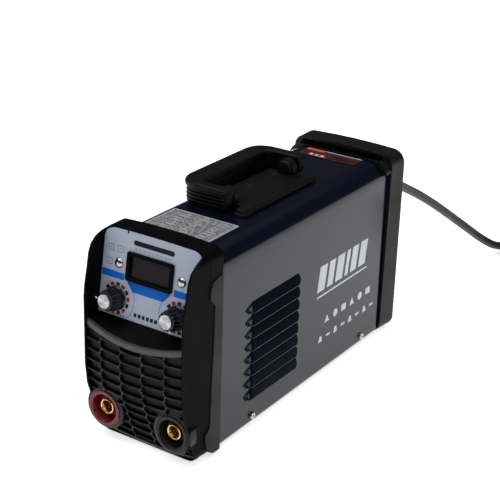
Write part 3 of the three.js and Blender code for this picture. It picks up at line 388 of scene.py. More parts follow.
def make(name, verts, faces, finish, body="case", angle=32.0, stands_for=(), slot=None, weigh=True):
    """A piece that rides a body and takes the place of the CAD nodes it stands for."""
    mesh = welded(name, verts, faces)
    mesh.shade_smooth()
    mesh.set_sharp_from_angle(angle=math.radians(angle))
    mesh.materials.append(look(finish))
    piece = add_object(name, mesh)
    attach(piece, body)
    if stands_for:
        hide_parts(*stands_for)
    if weigh:
        settle(piece)
    return piece


def loft(rings, caps=True):
    """Quads between closed rings of equal count, with a cap at each end."""
    count = len(rings[0])
    verts = [p for ring in rings for p in ring]
    faces = []
    for k in range(len(rings) - 1):
        for i in range(count):
            j = (i + 1) % count
            faces.append((k * count + i, k * count + j, (k + 1) * count + j, (k + 1) * count + i))
    if caps:
        faces.append(tuple(reversed(range(count))))
        faces.append(tuple(range((len(rings) - 1) * count, len(rings) * count)))
    return verts, faces


def ring_xz(radius, y, x=0.0, z=0.0, sides=48):
    return [(x + radius * math.cos(a), y, z + radius * math.sin(a)) for a in around(sides)]


def turned(profile, x, z, sides=48):
    """A closed piece turned about a line along y, from (radius, y) pairs; its last ring joins its first."""
    rings = [ring_xz(max(r, 0.001), y, x, z, sides) for r, y in profile]
    rings.append(rings[0])
    return loft(rings, caps=False)


def merge(*parts):
    verts, faces = [], []
    for v, f in parts:
        base = len(verts)
        verts += v
        faces += [tuple(i + base for i in face) for face in f]
    return verts, faces


def rounded(x0, x1, z0, z1, radius, steps=6):
    """A rounded rectangle's corners in order."""
    out = []
    for cx, cz, start in ((x1 - radius, z1 - radius, 0), (x0 + radius, z1 - radius, 90),
                          (x0 + radius, z0 + radius, 180),
                          (x1 - radius, z0 + radius, 270)):
        for k in range(steps + 1):
            a = math.radians(start + 90 * k / steps)
            out.append((cx + radius * math.cos(a), cz + radius * math.sin(a)))
    return out


TILT = 0.1606
PANEL_Y, PANEL_Z = -194.6, 134.8
PRINT_LIFT = 0.07
OUT = Vector((0, -math.cos(TILT), math.sin(TILT)))
UP = Vector((0, math.sin(TILT), math.cos(TILT)))


def on_panel(x, s, n):
    """A point x across the control panel, s up it from its foot and n off its face."""
    return (x, PANEL_Y + s * UP.y + n * OUT.y, PANEL_Z + s * UP.z + n * OUT.z)


# ------------------------------------------------------------------ sheet cover
COVER_HALF, SHEET = 60.0, 1.3
LOUVRES = dict(count=8, pitch=13.8, top=142.1, tall=9.8, front=-109.0, rear=-13.3, bulge=5.4)


def hood(y, v):
    """How far a louvre stands out at y, with v from 0 at its top to 1 at its open lower edge."""
    front = LOUVRES["front"] + 8.0 * (1 - v) ** 1.2
    rear = LOUVRES["rear"] - 3.6 * abs(2 * v - 1) ** 2.6
    if v <= 0.0 or not front < y < rear:
        return 0.0
    near = min((y - front) / (2.0 + 4.0 * v), (rear - y) / (1.4 + 2.2 * v), 1.0)
    end = math.sqrt(1 - (1 - near) ** 2)
    return LOUVRES["bulge"] * end * (0.14 + 0.86 * v)


def make_cover():
    """The folded sheet: its sides and rounded top in columns, opened under each louvre's hood."""
    low, high = box_mm("cover")
    half, top, bottom, front, rear, radius = COVER_HALF, high[2], low[2], low[1], high[1], 21.0
    stations = [front, -150, -136, -122, -112]
    stations += [-110 + 0.9 * k for k in range(16)] + [-92, -84, -76, -68, -60, -52, -44, -36, -30]
    stations += [-26 + 0.9 * k for k in range(16)] + [-10, 6, 26, 50, 74, 98, 120, 140, 152, 157.2, 164, rear]
    side = [(bottom, None), (8, None), (14, None), (24, None), (32, None)]
    for i in reversed(range(LOUVRES["count"])):
        start = LOUVRES["top"] - i * LOUVRES["pitch"]
        foot = start - LOUVRES["tall"]
        side.append((foot, None))
        side += [(foot + LOUVRES["tall"] * (1 - v), v) for v in (1.0, 0.94, 0.86, 0.74, 0.6, 0.45, 0.3, 0.17,
                                                                 0.06, 0.0)]
        side.append((start + 1.6, None))
    side += [(150, None), (165, None), (180, None)]
    columns = [lambda y, z=z, v=v: (half + (hood(y, v) if v is not None else 0.0), z) for z, v in side]
    for k in range(13):
        a = math.radians(90 * k / 12)
        columns.append(lambda y, a=a: (half - radius + radius * math.cos(a),
                                       top - radius + radius * math.sin(a)))
    columns += [lambda y, x=x: (x, top) for x in (30, 20, 10, 0)]
    count = len(columns)
    verts, faces = [], []
    grid = {}
    for i, y in enumerate(stations):
        for sign in (1, -1):
            for j, at in enumerate(columns):
                x, z = at(y)
                grid[sign, i, j] = len(verts)
                verts.append((sign * x, y, z))
    notch_y, notch_z = 157.2, 199.2
    for i in range(len(stations) - 1):
        for j in range(count - 1):
            zs = (columns[j](stations[i])[1] + columns[j + 1](stations[i])[1]) / 2
            if stations[i] >= notch_y - 0.01 and zs > notch_z:
                continue
            under = j + 1 < len(side) and side[j][1] is None and side[j + 1][1] == 1.0
            if under and max(hood(stations[i], 1.0), hood(stations[i + 1], 1.0)) > 0.02:
                continue
            for sign in (1, -1):
                quad = (grid[sign, i, j], grid[sign, i + 1, j], grid[sign, i + 1, j + 1], grid[sign, i, j + 1])
                faces.append(quad if sign > 0 else quad[::-1])
    cover = make("sheet_cover", verts, faces, "cover_paint", angle=38, stands_for=("cover",), weigh=False)
    work = bmesh.new()
    work.from_mesh(cover.data)
    probe = max(work.faces, key=lambda f: f.calc_center_median().z)
    if probe.normal.z < 0:
        bmesh.ops.reverse_faces(work, faces=work.faces)
    work.to_mesh(cover.data)
    work.free()
    thick = cover.modifiers.new("sheet", "SOLIDIFY")
    thick.thickness = SHEET * MM
    thick.offset = -1.0
    return cover


def quad(x0, x1, y0, y1):
    return [(x0, y0), (x1, y0), (x1, y1), (x0, y1)]


def decal_side(points, sign):
    return [(sign * (COVER_HALF + 0.06), y, z) for y, z in points], [tuple(range(len(points)))]


def decal_panel(points, lift=PRINT_LIFT):
    return [on_panel(x, s, lift) for x, s in points], [tuple(range(len(points)))]


def decal_top(points, z):
    return [(x, y, z) for x, y in points], [tuple(range(len(points)))]


def circle(cx, cy, radius):
    return [(cx + radius * math.cos(a), cy + radius * math.sin(a)) for a in around(24)]


def arc_strip(cx, cy, inner, outer, start, end, steps=16):
    """An arc of printing on the panel, its angles in degrees."""
    verts, faces = [], []
    for k in range(steps + 1):
        a = math.radians(start + (end - start) * k / steps)
        verts += [on_panel(cx + r * math.cos(a), cy + r * math.sin(a), PRINT_LIFT) for r in (outer, inner)]
        if k:
            faces.append((2 * k - 2, 2 * k - 1, 2 * k + 1, 2 * k))
    return verts, faces


def make_side_marks():
    """Plain printed shapes on each side: a row of leaning bars, a rule and two rows of small pictures."""
    for sign, tag in ((1, "right"), (-1, "left")):
        marks = []
        y, base, top, lean = 24.0, 104.0, 133.0, 5.0
        for wide in (15, 12, 15, 7, 13, 15):
            marks.append([(y, base), (y + wide, base), (y + wide + lean, top), (y + lean, top)])
            y += wide + 5.0
        marks.append([(24, 97), (y, 97), (y + 1, 99), (25, 99)])
        for k in range(6):
            cy, cz = 48 + k * 18.0, 66.0
            marks.append(([(cy - 5, cz - 4), (cy + 5, cz - 4), (cy, cz + 5)], circle(cy, cz, 4.6),
                          quad(cy - 5, cy + 5, cz - 4, cz + 4))[k % 3])
        for k in range(8):
            cy, cz = 36 + k * 16.0, 45.0
            marks.append(quad(cy - 4, cy + 4, cz - 1.4, cz + 1.4) if k % 2 else
                         [(cy - 4, cz - 3.6), (cy + 4, cz - 3.6), (cy + 2, cz + 3.6), (cy - 2, cz + 3.6)])
        make(f"side_print_{tag}", *merge(*[decal_side(mark, sign) for mark in marks]), "side_print",
             slot="label")


# ------------------------------------------------------------------ control panel
KNOB_X, KNOB_S = 36.5, 18.0


def make_panel_print():
    """Printed bars, arcs, cells and frames on the control panel."""
    blue = [
        decal_panel([(-56.6, 37.4), (-29.4, 37.2), (-29.4, 43.9), (-56.6, 44.1)]),
        decal_panel([(29.4, 37.2), (56.6, 37.4), (56.6, 44.1), (29.4, 43.9)]),
        decal_panel([(-24.5, 35.6), (-18.0, 28.6), (18.0, 28.6), (24.5, 35.6), (25.5, 38.5), (-25.5, 38.5)]),
        arc_strip(-KNOB_X, KNOB_S, 21.4, 22.0, -58, 66),
        arc_strip(KNOB_X, KNOB_S, 21.4, 22.0, 114, 238),
    ]
    make("panel_print_blue", *merge(*blue), "blue_print", slot="panel_plastic")
    dark, red = [], []
    for cx in (-KNOB_X, KNOB_X):
        for k in range(10):
            middle = 142 - k * 27.0
            (red if k % 2 else dark).append(arc_strip(cx, KNOB_S, 12.6, 15.9, middle - 9.0, middle + 9.0, 4))
    dark.append(decal_panel(quad(-30.4, -28.6, 84.0, 86.6), 0.09))
    dark.append(decal_panel(rounded(-22.0, 26.0, 74.6, 79.4, 2.3, 4)))
    for x in [-14 + k * 4.9 for k in range(6)]:
        dark.append(decal_panel(quad(x, x + 3.4, 5.2, 9.0)))
    dark += [decal_panel(quad(-46 + k * 3.2, -44 + k * 3.2, 1.2, 2.4)) for k in range(7)]
    make("panel_print_black", *merge(*dark), "black_print", slot="panel_plastic")
    make("panel_print_red", *merge(*red), "red_print", slot="panel_plastic")
    grey = []
    for cx, cs in ((-47.5, 66.5), (-36.8, 66.8), (-48.5, 52.5)):
        outer = rounded(cx - 3.6, cx + 3.6, cs - 3.4, cs + 3.4, 1.0, 3)
        inner = rounded(cx - 2.8, cx + 2.8, cs - 2.6, cs + 2.6, 0.6, 3)
        grey.append(loft([[on_panel(x, s, PRINT_LIFT) for x, s in line] for line in (outer, inner)],
                         caps=False))
        grey.append(decal_panel(quad(cx - 1.4, cx + 1.4, cs - 0.5, cs + 0.5)))
    grey += [decal_panel(quad(-20 + k * 5.0, -17.2 + k * 5.0, 70.8, 71.8)) for k in range(9)]
    make("panel_print_grey", *merge(*grey), "grey_print", slot="panel_plastic")


def panel_turned(profile, cx, cs, sides=40, wave=0.0, flutes=0):
    """A piece turned about the panel's normal, from (radius, height off the panel) pairs, with optional flutes."""
    rings = []
    for r, n in profile:
        ring = []
        for a in around(sides):
            rr = r - wave * (0.5 - 0.5 * math.cos(a * flutes)) ** 0.7
            ring.append(on_panel(cx + rr * math.cos(a), cs + rr * math.sin(a), n))
        rings.append(ring)
    return loft(rings)


def make_knobs():
    """Each knob: a plain skirt under a fluted grip, a bright cap and a pointer standing off it at an angle."""
    skirt = [(11.6, 0.8), (12.15, 1.2), (12.15, 2.6), (11.5, 3.3)]
    grip = [(11.4, 3.31), (11.2, 4.2), (10.9, 8.0), (10.5, 12.0), (10.1, 15.6), (9.8, 17.0), (9.3, 17.7),
            (8.6, 18.0),
            (7.4, 18.1), (7.1, 17.9)]
    cap = [(7.1, 17.4), (7.1, 19.0), (6.85, 19.5), (6.5, 19.65), (6.1, 19.5), (5.4, 19.44), (3.0, 19.46),
           (0.4, 19.48)]
    for tag, x, tick in (("left", -KNOB_X, 172.0), ("right", KNOB_X, -58.0)):
        knob = f"knob_{tag}"
        body = merge(panel_turned(skirt, x, KNOB_S, 72), panel_turned(grip, x, KNOB_S, 144, 0.95, 18))
        make(f"knob_body_{tag}", *body, "knob_plastic", body=knob, angle=40, stands_for=(knob,))
        make(f"knob_top_{tag}", *panel_turned(cap, x, KNOB_S, 64), "knob_cap", body=knob, angle=40,
             stands_for=(f"knob_cap_{tag}",))
        a = math.radians(tick)
        u, w = Vector((math.cos(a), math.sin(a))), Vector((-math.sin(a), math.cos(a)))
        rings = []
        for n in (17.95, 18.6):
            ring = []
            for d, side in ((8.9, -0.65), (11.4, -0.5), (11.4, 0.5), (8.9, 0.65)):
                p = u * d + w * side
                ring.append(on_panel(x + p.x, KNOB_S + p.y, n - (d - 8.9) * 0.25))
            rings.append(ring)
        make(f"knob_pointer_{tag}", *loft(rings), "white_print", body=knob, slot="knob_plastic")


def make_panel_hardware():
    """The strip under the panel's foot, the screw heads and the display."""
    seat = [[on_panel(x, s, n) for x, s in quad(-56.5, 56.5, -3.5, 0.5)] for n in (-4.0, -0.3)]
    make("panel_seat", *loft(seat), "bezel_plastic")
    for tag, x in (("left", -37.1), ("right", 37.1)):
        dome = [(4.9, 0.02), (4.95, 0.5), (4.6, 1.2), (3.9, 1.9), (2.9, 2.45), (1.7, 2.8), (0.5, 2.92)]
        make(f"screw_head_{tag}", *panel_turned(dome, x, 52.9, 40), "panel_screw",
             stands_for=(f"panel_screw_{tag}",))
    rim = []
    for outline, n in (((27.5, 38.8, 67.4, 2.2), 0.02), ((27.5, 38.8, 67.4, 2.2), 1.9),
                       ((27.1, 39.2, 67.0, 2.0), 2.4),
                       ((26.4, 39.9, 66.3, 1.6), 2.6), ((24.2, 41.8, 64.4, 1.0), 2.6),
                       ((23.6, 42.3, 63.9, 0.8), 2.2),
                       ((22.9, 43.0, 63.2, 0.6), -0.6), ((22.9, 43.0, 63.2, 0.6), -2.6)):
        half, low, high, radius = outline
        rim.append([on_panel(x, s, n) for x, s in rounded(-half, half, low, high, radius, 5)])
    make("display_surround", *loft(rim, caps=False), "bezel_plastic", stands_for=("display_frame",))
    glass = [[on_panel(x, s, n) for x, s in rounded(-22.85, 22.85, 43.05, 63.15, 0.6, 5)] for n in (-1.9, -0.9)]
    make("display_window", *loft(glass), "lens", stands_for=("display_lens",))


# ------------------------------------------------------------------ grille and sockets
FACE_LINE = [(4, -191.5), (20, -199.5), (37, -205), (61, -215), (86, -218), (124, -217.5), (134, -217.2)]
GRILLE_HALF = 57.0
SOCKET_X, SOCKET_Z, SURROUND = 41.2, 36.7, 22.6


def curve_at(line, z):
    """The depth of a line of (height, depth) points at one height."""
    if z <= line[0][0]:
        return line[0][1]
    for (z0, y0), (z1, y1) in zip(line, line[1:]):
        if z <= z1:
            return y0 + (y1 - y0) * (z - z0) / (z1 - z0)
    return line[-1][1]


def face_y(x, z):
    """The depth of the bowed grille's face."""
    smooth_y = sum(curve_at(FACE_LINE, z + d) for d in (-9, -6, -3, 0, 3, 6, 9)) / 7
    return smooth_y + 5.5 * (x / GRILLE_HALF) ** 2 + 0.25


def strip_z(x):
    """The upper edge of the strip over the grille."""
    return 124.0 + 8.3 * (x / GRILLE_HALF) ** 2


def allowed(x, z, margin=0.0):
    """Whether a rib may stand here: clear of the strip, the sides and the socket surrounds."""
    if abs(x) > GRILLE_HALF - 0.4 or z < 5.0 or z > strip_z(x) - 6.0:
        return False
    return math.hypot(abs(x) - SOCKET_X, z - SOCKET_Z) > SURROUND - 0.6 + margin


def rib_bar(a, b, wide=1.5, deep=4.4):
    """A rib with a softly chamfered crest from a to b, following the bowed face."""
    length = math.hypot(b[0] - a[0], b[1] - a[1])
    if length < 0.4:
        return [], []
    ux, uz = (b[0] - a[0]) / length, (b[1] - a[1]) / length
    nx, nz = -uz, ux
    steps = max(2, int(length / 4))
    rings = []
    for k in range(steps + 1):
        t = -0.35 + (length + 0.7) * k / steps
        px, pz = a[0] + ux * t, a[1] + uz * t
        ring = []
        for off, depth in ((-wide / 2 - 0.25, deep), (-wide / 2, 0.55), (-wide / 2 + 0.4, 0.0),
                           (wide / 2 - 0.4, 0.0), (wide / 2, 0.55),
                           (wide / 2 + 0.25, deep)):
            x, z = px + nx * off, pz + nz * off
            ring.append((x, face_y(px, pz) + depth, z))
        rings.append(ring)
    return loft(rings)


def cell_edges():
    """Each side, once, of rows of flat six-sided cells."""
    pitch_x, pitch_z, point = 25.5, 11.25, 1.3
    seen, out = set(), []
    for c in range(-3, 4):
        offset = 0.0 if c % 2 == 0 else pitch_z / 2
        for r in range(-2, 12):
            cx, cz = c * pitch_x, 17.0 + offset + r * pitch_z
            w, h = pitch_x / 2, pitch_z / 2
            ring = [(cx - w - point, cz), (cx - w + point, cz - h), (cx + w - point, cz - h),
                    (cx + w + point, cz), (cx + w - point, cz + h), (cx - w + point, cz + h)]
            for k in range(6):
                a, b = ring[k], ring[(k + 1) % 6]
                key = (round(a[0] + b[0], 1), round(a[1] + b[1], 1))
                if key not in seen:
                    seen.add(key)
                    out.append((a, b))
    return out


def make_grille():
    """Ribs wherever they are allowed, the strip above, the sill below, the floor painted near black as the shade
    inside the cells, and the socket rings.
    """
    parts, n = [], 40
    for a, b in cell_edges():
        run = [(a[0] + (b[0] - a[0]) * k / n, a[1] + (b[1] - a[1]) * k / n) for k in range(n + 1)]
        start = None
        for k in range(n + 1):
            good = allowed(*run[k])
            if good and start is None:
                start = k
            if start is not None and (not good or k == n):
                end = k if good else k - 1
                if end > start:
                    parts.append(rib_bar(run[start], run[end]))
                start = None
    make("grille_net", *merge(*parts), "grille_plastic", angle=25, stands_for=("front_grille",))
    edge = GRILLE_HALF - 0.3
    xs = [-edge + 2 * edge * k / 56 for k in range(57)]
    rings = []
    for x in xs:
        top, low = strip_z(x), strip_z(x) - 6.2
        ring = [(x, face_y(x, low) + 4.4, low - 0.2), (x, face_y(x, low) + 0.5, low),
                (x, face_y(x, low) + 0.05, low + 0.5)]
        ring += [(x, face_y(x, top) - 0.1, (top + low) / 2), (x, face_y(x, top), top - 0.9),
                 (x, face_y(x, top) + 0.35, top - 0.2),
                 (x, face_y(x, top) + 1.0, top), (x, face_y(x, top) + 4.0, top - 0.3)]
        rings.append(ring)
    sill = []
    for x in xs:
        sill.append([(x, face_y(x, 7) + 4.0, 7.2), (x, face_y(x, 7) + 0.6, 7.2), (x, face_y(x, 7) + 0.2, 6.7),
                     (x, face_y(x, 5) + 0.2, 4.7),
                     (x, face_y(x, 5) + 0.7, 4.2), (x, face_y(x, 5) + 4.0, 4.2)])
    make("grille_strip", *merge(loft(rings), loft(sill)), "grille_strip", angle=25, slot="grille_plastic")
    # The floor behind the ribs takes the near-black look: painted shade inside the cells.
    nz = 40
    verts, faces = [], []
    for x in xs:
        for j in range(nz + 1):
            z = 4.4 + (strip_z(x) - 1.0 - 4.4) * j / nz
            verts.append((x, face_y(x, z) + 3.9, z))
    for i in range(len(xs) - 1):
        for j in range(nz):
            a = i * (nz + 1) + j
            quad = (a, a + nz + 1, a + nz + 2, a + 1)
            cx, cz = sum(verts[k][0] for k in quad) / 4, sum(verts[k][2] for k in quad) / 4
            if math.hypot(abs(cx) - SOCKET_X, cz - SOCKET_Z) > 19.5:
                faces.append(quad)
    make("grille_floor", verts, faces, "grille_floor", slot="grille_plastic")
    for tag, sign in (("positive", -1), ("negative", 1)):
        ring = [(22.4, -196.5), (22.5, -203.6), (22.1, -204.8), (21.2, -205.5), (19.6, -205.8), (18.1, -205.7),
                (17.65, -205.2),
                (17.6, -196.5)]
        make(f"socket_ring_{tag}", *turned(ring, sign * SOCKET_X, SOCKET_Z, 64), "ring_plastic",
             slot="grille_plastic")


def make_sockets():
    """Each socket: a coloured cup round a brass sleeve with two keyways, closed off deep inside."""
    cup = [(17.2, -191.3), (17.25, -205.9), (18.5, -206.0), (18.8, -206.5), (18.5, -207.1), (17.6, -207.35),
           (16.4, -207.3), (15.2, -207.0), (14.5, -206.0), (13.6, -203.0), (12.9, -199.0), (12.0, -196.4),
           (10.8, -195.6), (9.4, -195.8), (9.0, -196.8), (8.45, -197.0), (8.4, -191.3)]
    sleeve = [(8.25, -194.0), (8.3, -201.7), (7.95, -202.5), (7.3, -202.8), (6.7, -202.6), (6.2, -201.8),
              (5.5, -199.6), (5.3, -198.4), (5.3, -172.0)]
    key_reach, key_half, key_deep = 6.3, 0.32, 1.5
    for tag, sign, finish in (("positive", -1, "socket_red"), ("negative", 1, "socket_black")):
        x = sign * SOCKET_X
        make(f"socket_cup_{tag}", *turned(cup, x, SOCKET_Z, 72), finish, angle=45,
             stands_for=(f"socket_collar_{tag}",))
        rings = []
        for r, y in sleeve:
            ring = []
            for a in [math.pi / 2 + turn for turn in around(72)]:
                off = min(abs(((a - key + math.pi) % (2 * math.pi)) - math.pi) for key in (math.pi / 2,
                                                                                           -math.pi / 2))
                rr = r + key_deep if r < key_reach and off < key_half else r
                ring.append((x + rr * math.cos(a), y, SOCKET_Z + rr * math.sin(a)))
            rings.append(ring)
        deep = turned([(5.6, -176.4), (5.6, -175.6), (0.01, -175.6), (0.01, -176.4)], x, SOCKET_Z, 32)
        make(f"socket_brass_{tag}", *merge(loft(rings, caps=False), deep), "brass", angle=40,
             stands_for=(f"socket_insert_{tag}",))


# ------------------------------------------------------------------ handle
def path_xy(points, radius, steps=8):
    """A closed outline with its corners rounded; each point is (x, y) or (x, y, radius)."""
    out = []
    n = len(points)
    for i in range(n):
        p, q, s = (Vector(points[(i + d) % n][:2]) for d in (-1, 0, 1))
        r = points[i][2] if len(points[i]) > 2 else radius
        if r <= 0:
            out.append((q.x, q.y))
            continue
        a, b = (p - q).normalized(), (s - q).normalized()
        angle = math.acos(max(-1.0, min(1.0, a.dot(b))))
        share = [0.98 if len(points[(i + d) % n]) > 2 and points[(i + d) % n][2] <= 0 else 0.49 for d in (-1,
                                                                                                          1)]
        cut = min(r / math.tan(angle / 2), (p - q).length * share[0], (s - q).length * share[1])
        start, end = q + a * cut, q + b * cut
        for k in range(steps + 1):
            t = k / steps
            w = (1 - t) ** 2, 2 * t * (1 - t), t * t
            out.append((start.x * w[0] + q.x * w[1] + end.x * w[2], start.y * w[0] + q.y * w[1] + end.y * w[2]))
    return out


def inset_path(outline, amount):
    """Moves each point of an outline inwards along its own normal."""
    n = len(outline)
    area = sum(outline[i][0] * outline[(i + 1) % n][1] - outline[(i + 1) % n][0] * outline[i][1] for i in range(n))
    sign = 1 if area > 0 else -1
    out = []
    for i in range(n):
        (ax, ay), (bx, by) = outline[i - 1], outline[(i + 1) % n]
        dx, dy = bx - ax, by - ay
        length = math.hypot(dx, dy) or 1.0
        out.append((outline[i][0] - dy / length * amount * sign, outline[i][1] + dx / length * amount * sign))
    return out


PIVOT_Z = 226.0


def make_handle():
    """The folding bail in layers with a grooved grip, the raised plate with its two posts and three bolts."""
    low, high = box_mm("handle_bail")
    x0, y0, y1 = low[0], low[1], high[1]
    z0, z1 = low[2], high[2]
    arm, grip = 13.0, 23.0

    def reach(z):
        d = z - PIVOT_Z
        if d < 0:
            return math.sqrt(max(144.0 - d * d, 4.0))
        return 12.0 if d < 4 else 4.0 + math.sqrt(max(64.0 - (d - 4.0) ** 2, 0.0))

    def outline(z, amount):
        e, r = reach(z), max(1.2, 1.5 * amount + 0.3)
        a, b = min(4.6, e - r - 0.4), min(3.4, e - r - 1.0)
        return path_xy([
            (e, y0, r), (e, y0 + arm, r), (x0 + grip, y0 + arm, 9), (x0 + grip, y1 - arm, 9), (e, y1 - arm, r),
                        (e, y1, r),
            (a, y1, 0), (b, y1, 0), (x0, y1, 27), (x0, y0, 27), (b, y0, 0), (a, y0, 0)], 4, 10)

    layers = []

    def layer(z, amount, groove=0.0):
        shape = outline(z, amount)
        inner = inset_path(shape, amount)
        deep = inset_path(shape, amount + groove) if groove else inner
        ring = []
        for (x, y), a, b in zip(shape, inner, deep):
            outside = y < y0 + 6 or y > y1 - 6 or x < x0 + 6
            ring.append((*(b if groove and outside and x < 4.0 else a), z))
        layers.append(ring)

    for rise, amount in ((0.05, 3.4), (0.35, 2.3), (1.0, 1.9)):
        layer(z0 + rise, amount)
    z = z0 + 1.6
    for _ in range(4):
        for rise, amount, groove in ((0, 1.75, 0), (0.06, 1.85, 2.3), (1.7, 1.85, 2.3), (1.76, 1.75, 0),
                                     (2.4, 1.55, 0), (3.3, 1.55, 0)):
            layer(z + rise, amount, groove)
        z += 3.9
    for height, amount in ((z - 0.2, 1.75), (z + 0.4, 1.6), (z + 0.9, 0.5), (z + 1.5, 0.05), (z1 - 2.6, 0.0),
                           (z1 - 1.5, 0.4), (z1 - 0.7, 1.1), (z1 - 0.2, 2.1), (z1, 3.4)):
        layer(height, amount)
    body = loft(layers)
    ribs = []
    for ya in (y0 + 4.0, y0 + 8.4, y1 - 4.0, y1 - 8.4):
        rings = []
        for y, d in ((ya - 0.9, -0.3), (ya - 0.5, 0.35), (ya + 0.5, 0.35), (ya + 0.9, -0.3)):
            heights = [z0 + 2.5 + (z1 - z0 - 5.0) * k / 24 for k in range(25)]
            ring = [(reach(z) - 1.6 + d + 0.2, y, z) for z in heights]
            ring += [(2.0, y, z1 - 3.0), (2.0, y, z0 + 3.0)]
            rings.append(ring)
        ribs.append(loft(rings))
    make("handle_grip", *merge(body, *ribs), "handle_plastic", body="handle", angle=30,
         stands_for=("handle_bail",))

    low, high = box_mm("handle_base")
    left, right, front, rear, zb = low[0], high[0], low[1], high[1], low[2]
    tall = 6.5
    parts = []
    for x0, x1, ya, yb, drop in ((left, right, front + 11.2, rear - 11.2, 0.0),
                                 (14.0, right, front, rear, 0.02)):
        plate = rounded(x0, x1, ya, yb, 6.0 if drop else 4.6, 6)
        rings = []
        for z, amount in ((zb, 0.0), (zb + 1.7, 0.0), (zb + 2.1, 0.5), (zb + 2.3, 0.8), (zb + tall - 1.9, 2.2),
                          (zb + tall - 1.0, 2.6),
                          (zb + tall - 0.35, 3.2), (zb + tall, 4.2)):
            rings.append([(x, y, z - drop) for x, y in inset_path(plate, amount * (0.75 if drop else 1.0))])
        parts.append(loft(rings))
    for ya, yb, boss in ((-62.5, -54.5, 1), (46.5, 54.5, -1)):
        post = []
        for y, r in ((ya, 9.6), (ya + 0.6, 10.0), (yb - 0.6, 10.0), (yb, 9.6)):
            post.append([(r * math.cos(a), y,
                          PIVOT_Z + r * math.sin(a)) for a in [math.pi * k / 16 for k in range(17)]]
                        + [(-r, y, zb + 2.5), (r, y, zb + 2.5)])
        parts.append(loft(post))
        face = yb if boss > 0 else ya
        cap = ((-2.0, 8.6), (1.6, 8.6), (3.0, 8.0), (3.9, 6.6), (4.4, 4.2), (4.6, 0.05))
        parts.append(loft([ring_xz(r, face + boss * d, 0.0, PIVOT_Z, 40) for d, r in cap]))
    make("handle_plate", *merge(*parts), "handle_plastic", angle=38,
         stands_for=("handle_base", "handle_pin_front", "handle_pin_rear"))

    def dish(y, *steps):
        return loft([[(-8 + r * math.cos(a), y + r * math.sin(a), z) for a in around(40)] for r, z in steps],
                    caps=False)

    zt = zb + tall + 0.02
    for k, (y, end) in enumerate(((-46.5, "front"), (-6.5, "middle"), (38.5, "rear"))):
        well = dish(y, (8.4, zt), (7.6, zt + 0.25), (6.6, zt + 0.02), (6.2, zt - 0.35))
        make(f"handle_well_{k}", *well, "handle_plastic")
        bolt = dish(y, (6.4, zt - 0.3), (4.6, zt - 0.25), (4.3, zt + 0.1), (2.2, zt + 0.12), (1.8, zt - 0.1),
                    (0.05, zt - 0.1))
        make(f"handle_bolt_{k}", *bolt, "screw_black", stands_for=(f"handle_screw_{end}",))


# ------------------------------------------------------------------ labels
def make_labels():
    """Two labels on top: rows of grey dashes on the pale one, plain blocks of colour on the warm one."""
    def sheet(node, edge, radius):
        low, high = box_mm(node)
        sides = [low[0] + edge, high[0] - edge, low[1] + edge, high[1] - edge]
        rings = [[(x, y, z) for x, y in rounded(*sides, radius, 3)] for z in (low[2] + 0.02, high[2])]
        return (*sides, high[2] + 0.05, loft(rings))

    left, right, front, rear, z, card = sheet("label_top", 0.5, 1.5)
    make("rating_label", *card, "label", stands_for=("label_top",))
    parts, rows = [], 17
    for k in range(rows):
        y = rear - 2.6 - k * (rear - front - 5.0) / rows
        x = left + 2.5
        n = 0
        while x < right - 5:
            wide = min(3.0 + 5.5 * ((k * 7 + n * 5) % 8) / 7, right - 3 - x)
            if (k * 3 + n) % 6 != 5:
                parts.append(decal_top(quad(x, x + wide, y - (1.5 if k % 4 else 2.2), y), z))
            x += wide + 1.6
            n += 1
    for y in (rear - 15, rear - 33):
        parts.append(decal_top(quad(left + 1.5, right - 1.5, y, y + 0.5), z + 0.01))
    make("rating_lines", *merge(*parts), "label_print", slot="label")

    left, right, front, rear, z, card = sheet("label_rear", 0.3, 1.2)
    make("caution_label", *card, "label_warm", stands_for=("label_rear",))
    orange = [quad(left + 0.8, left + 24, rear - 6.5, rear - 0.8),
              quad(left + 14, left + 34, front + 1.5, front + 3.4)]
    white = [quad(left + 25, right - 1, rear - 2.6, rear - 1.0)]
    for k in range(3):
        x0, x1 = left + 12 + k * 7, left + 16.5 + k * 7
        white.append([(x0, front + 3 + k % 2), (x1, front + 3), (x1, front + 8), (x0, front + 8 - k % 2)])
    dark = [quad(left + 36, right - 4 - 5 * (k % 2), front + 2.5 + 3.2 * k,
                 front + 4 + 3.2 * k) for k in range(4)]
    for tag, ink, marks in (("orange", "orange_print", orange), ("white", "white_print", white),
                            ("dark", "black_print", dark)):
        make(f"caution_{tag}", *merge(*[decal_top(mark, z) for mark in marks]), ink, slot="label_warm")


# ------------------------------------------------------------------ cover screws and the tie
def make_screws():
    """The heads that hold the cover, each in the place of its CAD screw."""
    for side, sign in (("left", -1), ("right", 1)):
        for end in ("front", "rear"):
            node = f"cover_screw_{side}_{end}"
            low, high = box_mm(node)
            tip = high[0] if sign > 0 else -low[0]
            cy, cz = (low[1] + high[1]) / 2, (low[2] + high[2]) / 2
            profile = ((2.0, 59.0), (3.75, 60.1), (3.8, tip - 0.9), (3.45, tip - 0.3), (2.6, tip - 0.02),
                       (1.5, tip),
                       (1.2, tip - 0.1), (1.0, tip - 0.7), (0.05, tip - 0.8))
            rings = [[(sign * x, cy + r * math.cos(a), cz + r * math.sin(a)) for a in around(32)] for r,
                     x in profile]
            make(f"case_screw_{side}_{end}", *loft(rings), "screw_steel", angle=35, stands_for=(node,))


